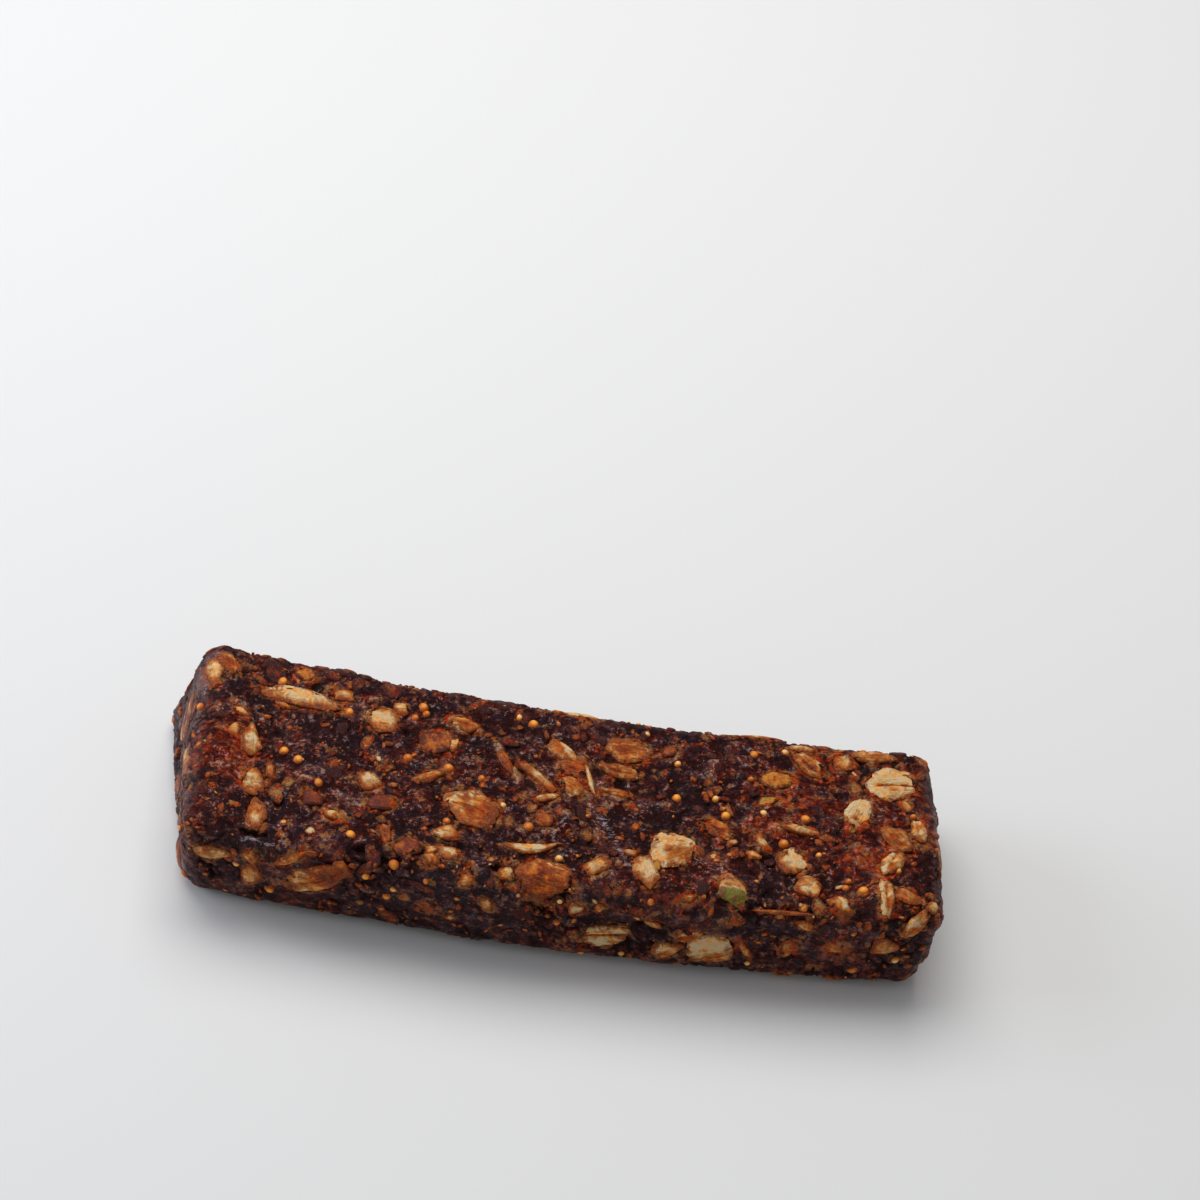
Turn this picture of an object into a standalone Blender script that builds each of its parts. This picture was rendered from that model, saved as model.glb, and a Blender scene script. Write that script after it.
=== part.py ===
# A pressed bar of dried fruit, chopped nuts and rolled oats, lying flat.
# One solid: the pressed fruit paste with the oats, nuts and seeds that show on
# its faces fused to it. Lengths are in millimetres and turned to metres at the end.
# The bar lies along X, its top faces +Z, and its long front face is at -Y.

import bmesh
import bpy
import numpy as np

MM = 0.001

# The straight bar, before it is bent and its cut ends are skewed.
LENGTH = 100.0
WIDTH = 31.0
HEIGHT = 15.0
EDGE_RADIUS = 3.0
HALF = np.array([LENGTH, WIDTH, HEIGHT]) / 2

# The bar bends in plan: its middle lies this far towards the front.
BOW = 2.5
# How far each corner of the box is pushed (along, across): the ends are rough cuts.
CORNER_PUSH = [
    ((-1, -1, -1), 1.4, 0.0),
    ((-1, -1, 1), 1.6, -1.8),
    ((-1, 1, -1), -7.2, 0.0),
    ((-1, 1, 1), -0.9, 2.0),
    ((1, -1, -1), -0.9, 0.0),
    ((1, -1, 1), 1.4, 0.0),
    ((1, 1, -1), -0.7, 0.0),
    ((1, 1, 1), -1.6, -1.3),
]
# The middle of the bar's outline in plan, which becomes the origin.
PLAN_MIDDLE = (-2.1, -1.2)

# Soft lumps of the pressed paste: (size of a lump, height of a lump, seed).
LUMPS = [(10.0, 0.45, 3), (5.0, 0.25, 8)]
# The lumps fade out over this height above the flat underside.
LUMP_FADE = 2.5
GRID = 2.6
# Points of the fused skin closer than this become one.
WELD = 0.012

# Each face of the box: axis along, axis across, axis outwards, and its sign.
FACES = {
    "top": (0, 1, 2, 1),
    "front": (0, 2, 1, -1),
    "back": (0, 2, 1, 1),
    "left": (1, 2, 0, -1),
    "right": (1, 2, 0, 1),
}

# Pieces read off the two faces that show:
# kind, place along the face, place across it, turn in degrees, length, width.
TOP_PIECES = [
    ("nut", -48.5, 9.5, -80, 4.5, 2.0),
    ("oat", -46.5, 11.0, -40, 4.0, 2.5),
    ("sliver", -36.0, 8.0, -5, 12.0, 3.0),
    ("nut", -31.0, 10.0, 0, 3.5, 2.0),
    ("nut", -42.0, 0.0, -80, 5.0, 2.5),
    ("nut", -41.0, -6.0, -45, 3.5, 3.0),
    ("nut", -40.0, -11.0, -80, 5.0, 2.5),
    ("fruit", -33.0, -7.0, -15, 3.0, 2.5),
    ("sliver", -30.0, -9.0, -10, 3.0, 1.5),
    ("nut", -25.0, 7.5, 5, 4.5, 4.0),
    ("nut", -26.0, -3.0, -25, 3.5, 2.5),
    ("fruit", -24.0, -6.0, 15, 4.0, 2.5),
    ("fruit", -20.0, -12.0, 15, 4.0, 2.5),
    ("oat", -17.0, 5.0, 20, 7.0, 5.5),
    ("sliver", -14.0, 9.0, -15, 5.5, 1.5),
    ("nut", -18.0, -0.5, 30, 4.0, 1.5),
    ("oat", -12.0, -4.5, -20, 8.0, 6.0),
    ("nut", -15.0, -9.0, 20, 3.0, 2.5),
    ("nut", -14.5, -12.0, -30, 2.5, 2.0),
    ("sliver", -8.0, 4.0, -60, 5.0, 2.0),
    ("nut", 2.5, 14.0, 0, 5.0, 1.5),
    ("oat", -0.5, 7.0, -35, 5.5, 2.5),
    ("oat", 1.0, 4.5, 5, 4.0, 3.5),
    ("oat", 1.0, 1.5, -30, 4.0, 3.0),
    ("sliver", -3.5, 2.0, -40, 7.0, 1.5),
    ("sliver", -4.0, -9.0, 10, 7.0, 1.5),
    ("nut", -2.5, -4.5, -35, 2.5, 2.0),
    ("oat", -2.0, -13.5, -10, 7.5, 6.0),
    ("nut", 4.5, -11.0, 40, 3.5, 2.5),
    ("oat", 8.5, 9.0, 5, 6.5, 4.5),
    ("oat", 7.5, 5.5, 0, 6.0, 2.5),
    ("sliver", 7.0, 1.5, 0, 4.0, 1.5),
    ("nut", 11.0, -11.0, -80, 5.0, 3.0),
    ("oat", 14.5, -7.0, 25, 6.5, 6.0),
    ("fruit", 14.0, 10.0, 25, 2.5, 2.0),
    ("oat", 20.0, -2.5, -25, 5.0, 3.0),
    ("pumpkin", 22.0, -12.5, -60, 5.5, 4.0),
    ("sliver", 26.5, 15.0, 0, 6.5, 1.5),
    ("fruit", 28.5, 7.0, 10, 5.0, 3.0),
    ("fruit", 27.0, 3.0, 15, 3.0, 1.5),
    ("nut", 26.0, -4.0, -60, 3.5, 1.5),
    ("nut", 30.0, -7.0, -75, 4.0, 3.5),
    ("sliver", 31.0, -1.5, -10, 6.0, 1.5),
    ("nut", 32.0, -11.0, -15, 3.5, 3.0),
    ("oat", 33.0, 10.0, -45, 5.5, 3.0),
    ("sliver", 32.0, 13.0, 5, 4.0, 1.5),
    ("nut", 36.0, -13.5, -25, 3.5, 2.0),
    ("nut", 37.5, 11.5, 5, 3.0, 3.0),
    ("oat", 41.5, 13.0, 0, 6.0, 2.5),
    ("oat", 39.0, 2.0, 65, 6.0, 3.5),
    ("oat", 44.0, 8.0, 10, 7.5, 6.0),
    ("oat", 44.0, -2.0, -50, 5.5, 3.5),
    ("oat", 47.0, 0.0, -80, 4.5, 2.0),
    ("oat", 43.0, -6.0, 60, 5.5, 2.0),
    ("oat", 42.0, -12.0, 90, 6.0, 2.0),
    ("nut", 44.5, -11.5, -30, 3.5, 2.5),
]
FRONT_PIECES = [
    ("oat", -45.0, 3.5, 5, 5.0, 2.5),
    ("nut", -40.0, 4.0, 90, 2.5, 2.0),
    ("nut", -40.0, 0.0, 90, 4.0, 2.5),
    ("sliver", -35.0, 5.0, 40, 5.0, 1.5),
    ("oat", -31.5, 2.0, 40, 10.0, 4.5),
    ("nut", -28.0, 5.0, -65, 3.0, 2.0),
    ("nut", -9.0, 3.0, -55, 2.5, 1.5),
    ("nut", 2.5, 4.0, 5, 2.5, 2.5),
    ("oat", 7.0, -1.5, 20, 7.5, 4.5),
    ("oat", 17.5, 1.0, 30, 4.5, 2.5),
    ("oat", 15.5, -2.5, 35, 4.5, 3.0),
    ("oat", 21.0, -1.5, 20, 7.0, 6.5),
    ("nut", 31.0, 0.0, 10, 3.0, 3.5),
    ("sliver", 32.0, 5.0, -30, 3.0, 1.5),
    ("nut", 37.0, 1.0, -35, 3.5, 2.5),
    ("nut", 43.0, 1.5, 10, 3.5, 3.0),
    ("oat", 46.0, 6.0, 60, 5.0, 2.5),
]
# Fig seeds that show best, by place on each face.
SEED_SIZE = 1.4
TOP_SEEDS = [
    (-39.0, 10.5), (-37.5, -0.5), (-35.5, -1.5), (-32.5, -4.5), (-29.5, 7.5),
    (-19.5, 11.0), (-21.0, 2.0), (-15.5, 1.5), (-27.5, -11.5), (-4.5, 11.0),
    (-4.5, -6.0), (15.0, 2.0), (21.5, 0.0), (32.0, 0.5), (29.0, -4.0),
    (25.5, 11.0), (39.0, -11.0),
]
FRONT_SEEDS = [(-37.5, -2.5), (-21.5, 7.0), (-25.0, 4.5), (-22.0, 1.0), (40.5, -3.5)]

# Pieces on the faces that don't show: how many on each, and their kinds in turn.
SPREAD = {"back": 16, "left": 5, "right": 5}
SPREAD_SEEDS = {"back": 17, "left": 21, "right": 19}
SPREAD_KINDS = ["oat", "nut", "oat", "sliver", "nut", "fruit"]
SPREAD_SIZES = {
    "oat": (7.0, 5.0),
    "nut": (3.8, 3.0),
    "sliver": (6.5, 1.8),
    "fruit": (3.6, 2.6),
}

# How each kind stands out of the paste: rings from the middle of its top
# outwards as (share of its outline, height), then how deep it is sunk.
PROFILES = {
    "oat": ([(0.55, 0.50), (0.88, 0.40), (1.0, 0.05)], 0.9),
    "nut": ([(0.62, 0.75), (1.0, 0.10)], 1.2),
    "sliver": ([(0.50, 0.65), (1.0, 0.05)], 0.9),
    "fruit": ([(0.75, 0.50), (1.0, 0.05)], 1.0),
    "pumpkin": ([(0.60, 0.70), (0.90, 0.45), (1.0, 0.05)], 1.0),
}


def clear_scene():
    for thing in list(bpy.data.objects):
        bpy.data.objects.remove(thing, do_unlink=True)


def lattice_value(i, j, k, seed):
    """One fixed number between -1 and 1 for each point of a whole-number lattice."""
    n = (i * 374761 + j * 668265 + k * 1274126 + seed * 97463) & 0xFFFFFF
    n = ((n ^ (n >> 11)) * 2246822 + 3266489) & 0xFFFFFFFF
    n = ((n ^ (n >> 15)) * 668265) & 0xFFFFFFFF
    return (n ^ (n >> 13)) % 65536 / 32767.5 - 1


def soft_noise(points, size, seed):
    """Smooth lumps about `size` across, between -1 and 1."""
    scaled = points / size
    low = np.floor(scaled).astype(np.int64)
    part = scaled - low
    part = part * part * (3 - 2 * part)
    total = np.zeros(len(points))
    for a in (0, 1):
        for b in (0, 1):
            for c in (0, 1):
                weight = np.where(a, part[:, 0], 1 - part[:, 0])
                weight = weight * np.where(b, part[:, 1], 1 - part[:, 1])
                weight = weight * np.where(c, part[:, 2], 1 - part[:, 2])
                total += weight * lattice_value(low[:, 0] + a, low[:, 1] + b, low[:, 2] + c, seed)
    return total


def fold_over(place, half):
    """Carries a place measured along a face over its rounded edge, true to length."""
    past = np.abs(place) - (half - EDGE_RADIUS)
    angle = np.clip(past / EDGE_RADIUS, 0, np.pi / 2)
    round_place = half - EDGE_RADIUS + EDGE_RADIUS * np.sin(angle)
    round_drop = EDGE_RADIUS * (1 - np.cos(angle)) + np.maximum(past - EDGE_RADIUS * np.pi / 2, 0)
    flat = past <= 0
    return np.where(flat, place, np.sign(place) * round_place), np.where(flat, 0, round_drop)


def nearest_on_box(points):
    """The point of the rounded box nearest to each point, and the way out there."""
    inner = np.clip(points, EDGE_RADIUS - HALF, HALF - EDGE_RADIUS)
    outwards = points - inner
    outwards /= np.maximum(np.linalg.norm(outwards, axis=1), 1e-9)[:, None]
    return inner + EDGE_RADIUS * outwards, outwards


def on_face(face, along, across):
    axis_along, axis_across, axis_out, sign = FACES[face]
    place_along, drop_along = fold_over(along, HALF[axis_along])
    place_across, drop_across = fold_over(across, HALF[axis_across])
    points = np.zeros((len(along), 3))
    points[:, axis_along] = place_along
    points[:, axis_across] = place_across
    points[:, axis_out] = sign * (HALF[axis_out] - drop_along - drop_across)
    return nearest_on_box(points)


def lump_height(points):
    fade = np.clip((points[:, 2] + HALF[2]) / LUMP_FADE, 0, 1)
    height = np.zeros(len(points))
    for size, amount, seed in LUMPS:
        height += amount * soft_noise(points, size, seed)
    return height * fade * fade * (3 - 2 * fade)


def bend(points):
    """Takes points of the straight bar to the bent bar that stands on the ground."""
    side = np.clip(points / HALF, -1.2, 1.2)
    pushed = points.copy()
    for (i, j, k), along, across in CORNER_PUSH:
        weight = (1 + i * side[:, 0]) * (1 + j * side[:, 1]) * (1 + k * side[:, 2]) / 8
        pushed[:, 0] += weight * along
        pushed[:, 1] += weight * across
    pushed[:, 1] -= BOW * (1 - side[:, 0] ** 2)
    pushed[:, 2] = np.maximum(pushed[:, 2] + HALF[2], 0)
    pushed[:, :2] -= PLAN_MIDDLE
    return pushed


def box_grid():
    """A box of square cells with shared corners, as points and four-sided faces."""
    counts = np.maximum(np.round(2 * HALF / GRID).astype(int), 2)
    index = {}
    points = []

    def corner(i, j, k):
        key = (i, j, k)
        if key not in index:
            index[key] = len(points)
            points.append(-HALF + 2 * HALF * np.array(key) / counts)
        return index[key]

    faces = []
    nx, ny, nz = counts
    for i in range(nx):
        for j in range(ny):
            for k, up in ((0, False), (nz, True)):
                ring = [(i, j, k), (i + 1, j, k), (i + 1, j + 1, k), (i, j + 1, k)]
                faces.append([corner(*c) for c in (ring if up else ring[::-1])])
    for i in range(nx):
        for k in range(nz):
            for j, back in ((0, False), (ny, True)):
                ring = [(i, j, k), (i + 1, j, k), (i + 1, j, k + 1), (i, j, k + 1)]
                faces.append([corner(*c) for c in (ring[::-1] if back else ring)])
    for j in range(ny):
        for k in range(nz):
            for i, right in ((0, False), (nx, True)):
                ring = [(i, j, k), (i, j, k + 1), (i, j + 1, k + 1), (i, j + 1, k)]
                faces.append([corner(*c) for c in (ring[::-1] if right else ring)])
    return np.array(points), faces


def make_object(name, points, faces, collection):
    mesh = bpy.data.meshes.new(name)
    mesh.from_pydata([tuple(p) for p in points * MM], [], faces)
    mesh.update()
    made = bpy.data.objects.new(name, mesh)
    collection.objects.link(made)
    return made


def make_paste(collection):
    points, faces = box_grid()
    points, outwards = nearest_on_box(points)
    points = points + outwards * lump_height(points)[:, None]
    return make_object("granola_bar", bend(points), faces, collection)


def outline(kind, sides, length, width, rng):
    """The outline of a piece, seen from above, as (along, across) pairs."""
    rough = {"oat": 0.05, "nut": 0.14, "sliver": 0.04, "fruit": 0.04, "pumpkin": 0.05}[kind]
    shift = rng.uniform(0, 1)
    pairs = []
    for n in range(sides):
        angle = 2 * np.pi * (n + shift) / sides
        along, across = np.cos(angle), np.sin(angle)
        if kind == "sliver":
            across *= abs(across) ** 0.6
        if kind == "fruit":
            across = np.sign(across) * abs(across) ** 0.6
            along = np.sign(along) * abs(along) ** 0.6
        if kind == "oat":
            along *= 1 + 0.06 * abs(along)
        grow = 1 + rng.uniform(-rough, rough)
        pairs.append((along * length / 2 * grow, across * width / 2 * grow))
    return np.array(pairs)


def piece_mesh(kind, length, width, rng):
    """A closed piece with its middle at the origin, its top up and its foot sunk."""
    rings, depth = PROFILES[kind]
    size = (length * width) ** 0.5
    sides = 10 if size > 4.5 else 7 if size > 3 else 6
    rim = outline(kind, sides, length, width, rng)
    tilt_along, tilt_across = rng.uniform(-0.03, 0.03, 2)
    points = [(0.0, 0.0, rings[0][1] * 1.05)]
    for share, height in rings + [(0.85, -depth)]:
        for along, across in rim * share:
            lean = along * tilt_along + across * tilt_across
            points.append((along, across, height + lean))
    points.append((0.0, 0.0, -depth))
    faces = []
    for n in range(sides):
        after = (n + 1) % sides
        faces.append((0, 1 + n, 1 + after))
        for ring in range(len(rings)):
            start = 1 + ring * sides
            faces.append((start + n, start + sides + n, start + sides + after, start + after))
        start = 1 + len(rings) * sides
        faces.append((start + n, len(points) - 1, start + after))
    return np.array(points), faces


def seed_mesh():
    """A small ball of six sides and four bands, half sunk."""
    radius = SEED_SIZE / 2
    sides = 6
    points = [(0.0, 0.0, radius + 0.15)]
    for band in (1, 2, 3):
        angle = np.pi * band / 4
        for n in range(sides):
            turn = 2 * np.pi * n / sides
            points.append((radius * np.sin(angle) * np.cos(turn),
                           radius * np.sin(angle) * np.sin(turn),
                           radius * np.cos(angle) + 0.15))
    points.append((0.0, 0.0, 0.15 - radius))
    faces = []
    for n in range(sides):
        after = (n + 1) % sides
        faces.append((0, 1 + n, 1 + after))
        for band in (0, 1):
            start = 1 + band * sides
            faces.append((start + n, start + sides + n, start + sides + after, start + after))
        start = 1 + 2 * sides
        faces.append((start + n, len(points) - 1, start + after))
    return np.array(points), faces


def lay(shape, face, along, across, turn, name, collection):
    """Lays a piece on a face of the bar and bends it with the bar."""
    points, faces = shape
    angle = np.radians(turn)
    place_along = along + points[:, 0] * np.cos(angle) - points[:, 1] * np.sin(angle)
    place_across = across + points[:, 0] * np.sin(angle) + points[:, 1] * np.cos(angle)
    base, outwards = on_face(face, place_along, place_across)
    raised = base + outwards * (lump_height(base) + points[:, 2])[:, None]
    if face in ("back", "right"):
        handed = 1 if face == "right" else -1
    else:
        handed = -1 if face == "left" else 1
    if handed < 0:
        faces = [tuple(reversed(f)) for f in faces]
    return make_object(name, bend(raised), faces, collection)


def spread_places(count, half_along, half_across, rng):
    """Even places over a face: each is the one of many draws farthest from the rest."""
    places = []
    for _ in range(count):
        draws = rng.uniform(-1, 1, (60, 2)) * (half_along, half_across)
        if places:
            gaps = np.linalg.norm(draws[:, None] - np.array(places)[None], axis=2).min(axis=1)
            places.append(draws[np.argmax(gaps)])
        else:
            places.append(draws[0])
    return places


def spread_rows(face, count):
    """Pieces spread over a face that doesn't show, in the same form as the rows above."""
    rng = np.random.default_rng(SPREAD_SEEDS[face])
    axis_along, axis_across, _, _ = FACES[face]
    rows = []
    for along, across in spread_places(count, HALF[axis_along] - 3.5, HALF[axis_across] - 3.0, rng):
        kind = SPREAD_KINDS[len(rows) % len(SPREAD_KINDS)]
        length, width = np.array(SPREAD_SIZES[kind]) * rng.uniform(0.8, 1.1)
        rows.append((kind, along, across, rng.uniform(-50, 50), length, width))
    return rows


def lay_pieces(collection):
    rng = np.random.default_rng(41)
    rows_by_face = {"top": TOP_PIECES, "front": FRONT_PIECES}
    for face, count in SPREAD.items():
        rows_by_face[face] = spread_rows(face, count)
    for face, rows in rows_by_face.items():
        for kind, along, across, turn, length, width in rows:
            lay(piece_mesh(kind, length, width, rng), face, along, across, turn, kind, collection)
    for face, rows in (("top", TOP_SEEDS), ("front", FRONT_SEEDS)):
        for along, across in rows:
            lay(seed_mesh(), face, along, across, 0, "fig_seed", collection)


def fuse(body, toppings):
    """One union of the paste with everything in the toppings collection."""
    union = body.modifiers.new("union", "BOOLEAN")
    union.operation = "UNION"
    union.operand_type = "COLLECTION"
    union.collection = toppings
    union.solver = "MANIFOLD"
    depsgraph = bpy.context.evaluated_depsgraph_get()
    fused = bpy.data.meshes.new_from_object(body.evaluated_get(depsgraph))
    body.modifiers.clear()
    body.data = fused
    for piece in list(toppings.objects):
        bpy.data.objects.remove(piece, do_unlink=True)
    bpy.data.collections.remove(toppings)


def keep_largest_shell(body):
    """Welds the seams and drops loose scraps: only the largest shell stays."""
    form = bmesh.new()
    form.from_mesh(body.data)
    bmesh.ops.remove_doubles(form, verts=form.verts[:], dist=WELD * MM)
    form.faces.ensure_lookup_table()
    left = set(form.faces)
    shells = []
    while left:
        shell = {left.pop()}
        edge = list(shell)
        while edge:
            face = edge.pop()
            for side in face.edges:
                for other in side.link_faces:
                    if other in left:
                        left.remove(other)
                        shell.add(other)
                        edge.append(other)
        shells.append(shell)
    largest = max(shells, key=len)
    for shell in shells:
        if shell is not largest:
            bmesh.ops.delete(form, geom=list(shell), context="FACES")
    bmesh.ops.triangulate(form, faces=form.faces[:])
    form.to_mesh(body.data)
    form.free()


def colour(body):
    paste = bpy.data.materials.new("fruit_paste")
    paste.use_nodes = True
    shader = paste.node_tree.nodes["Principled BSDF"]
    shader.inputs["Base Color"].default_value = (0.07, 0.025, 0.018, 1.0)
    shader.inputs["Roughness"].default_value = 0.45
    body.data.materials.clear()
    body.data.materials.append(paste)


def build():
    clear_scene()
    scene_collection = bpy.context.scene.collection
    toppings = bpy.data.collections.new("toppings")
    scene_collection.children.link(toppings)
    body = make_paste(scene_collection)
    lay_pieces(toppings)
    fuse(body, toppings)
    keep_largest_shell(body)
    colour(body)


build()
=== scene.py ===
import bpy
import numpy as np
from mathutils import Matrix, Vector


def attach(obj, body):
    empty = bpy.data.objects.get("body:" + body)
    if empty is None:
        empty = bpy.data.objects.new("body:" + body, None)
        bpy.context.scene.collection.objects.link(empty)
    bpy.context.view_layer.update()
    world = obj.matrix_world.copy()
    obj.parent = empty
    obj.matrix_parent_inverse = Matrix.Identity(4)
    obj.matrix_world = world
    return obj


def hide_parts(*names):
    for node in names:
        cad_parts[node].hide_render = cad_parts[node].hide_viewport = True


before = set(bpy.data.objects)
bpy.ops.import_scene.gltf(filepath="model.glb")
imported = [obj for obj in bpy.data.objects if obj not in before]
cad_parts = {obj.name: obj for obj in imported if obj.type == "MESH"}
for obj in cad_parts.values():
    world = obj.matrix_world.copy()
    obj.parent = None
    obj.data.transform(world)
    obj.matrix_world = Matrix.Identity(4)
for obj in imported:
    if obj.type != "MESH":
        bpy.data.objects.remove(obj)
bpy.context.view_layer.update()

# A pressed bar of dried fruit, oats, nuts and fig seeds. Lengths are millimetres
# in the straight bar, which is then bent and turned to metres. The bar lies
# along X, its top faces +Z, and its long front face is at -Y.
MM = 0.001

LENGTH = 100.0
WIDTH = 31.0
HEIGHT = 15.0
EDGE_RADIUS = 3.0
HALF = np.array([LENGTH, WIDTH, HEIGHT]) / 2

# The bar bends in plan: its middle lies this far towards the front.
BOW = 2.5
# How far each corner of the box is pushed (along, across): the ends are rough cuts.
CORNER_PUSH = [
    ((-1, -1, -1), 1.4, 0.0),
    ((-1, -1, 1), 1.6, -1.8),
    ((-1, 1, -1), -7.2, 0.0),
    ((-1, 1, 1), -0.9, 2.0),
    ((1, -1, -1), -0.9, 0.0),
    ((1, -1, 1), 1.4, 0.0),
    ((1, 1, -1), -0.7, 0.0),
    ((1, 1, 1), -1.6, -1.3),
]
# The middle of the bar's outline in plan, which is the origin.
PLAN_MIDDLE = (-2.1, -1.2)

# Soft lumps of the pressed paste: (size of a lump, height of a lump, seed).
LUMPS = [(10.0, 0.45, 3), (5.0, 0.25, 8)]
# Relief of the paste that is too fine for the solid: (size, height, seed).
GRAIN = [(2.6, 0.16, 21), (1.3, 0.12, 22), (0.75, 0.10, 23)]
# The paste is made of pressed chunks with cracks between: (size, depth, seed).
CHUNKS = [(2.1, 0.34, 41), (1.05, 0.16, 44)]
# Half width of a crack as a share of its chunk.
CRACK = 0.13
# Noise that shifts the borders of the chunks about: (size, reach, seeds).
WARP = (1.6, 0.55, (34, 35, 36))
# Noise that breaks the cracks off: (size, seed).
BREAKS = (5.0, 37)
# Fine strands along the bar: (size, height, seed), and where they lie: (size, seed).
STRANDS = (0.8, 0.10, 31)
COMBS = (7.0, 32)
# The lumps fade out over this height above the flat underside.
LUMP_FADE = 2.5
# Cell of the paste's skin.
CELL = 0.345

# Each face of the box: axis along, axis across, axis outwards, and its sign.
FACES = {
    "top": (0, 1, 2, 1),
    "under": (0, 1, 2, -1),
    "front": (0, 2, 1, -1),
    "back": (0, 2, 1, 1),
    "left": (1, 2, 0, -1),
    "right": (1, 2, 0, 1),
}
ENDS = ("left", "right")
# Faces whose along, across and outwards directions make a left-handed set.
MIRRORED = ("under", "back", "left")

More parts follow.
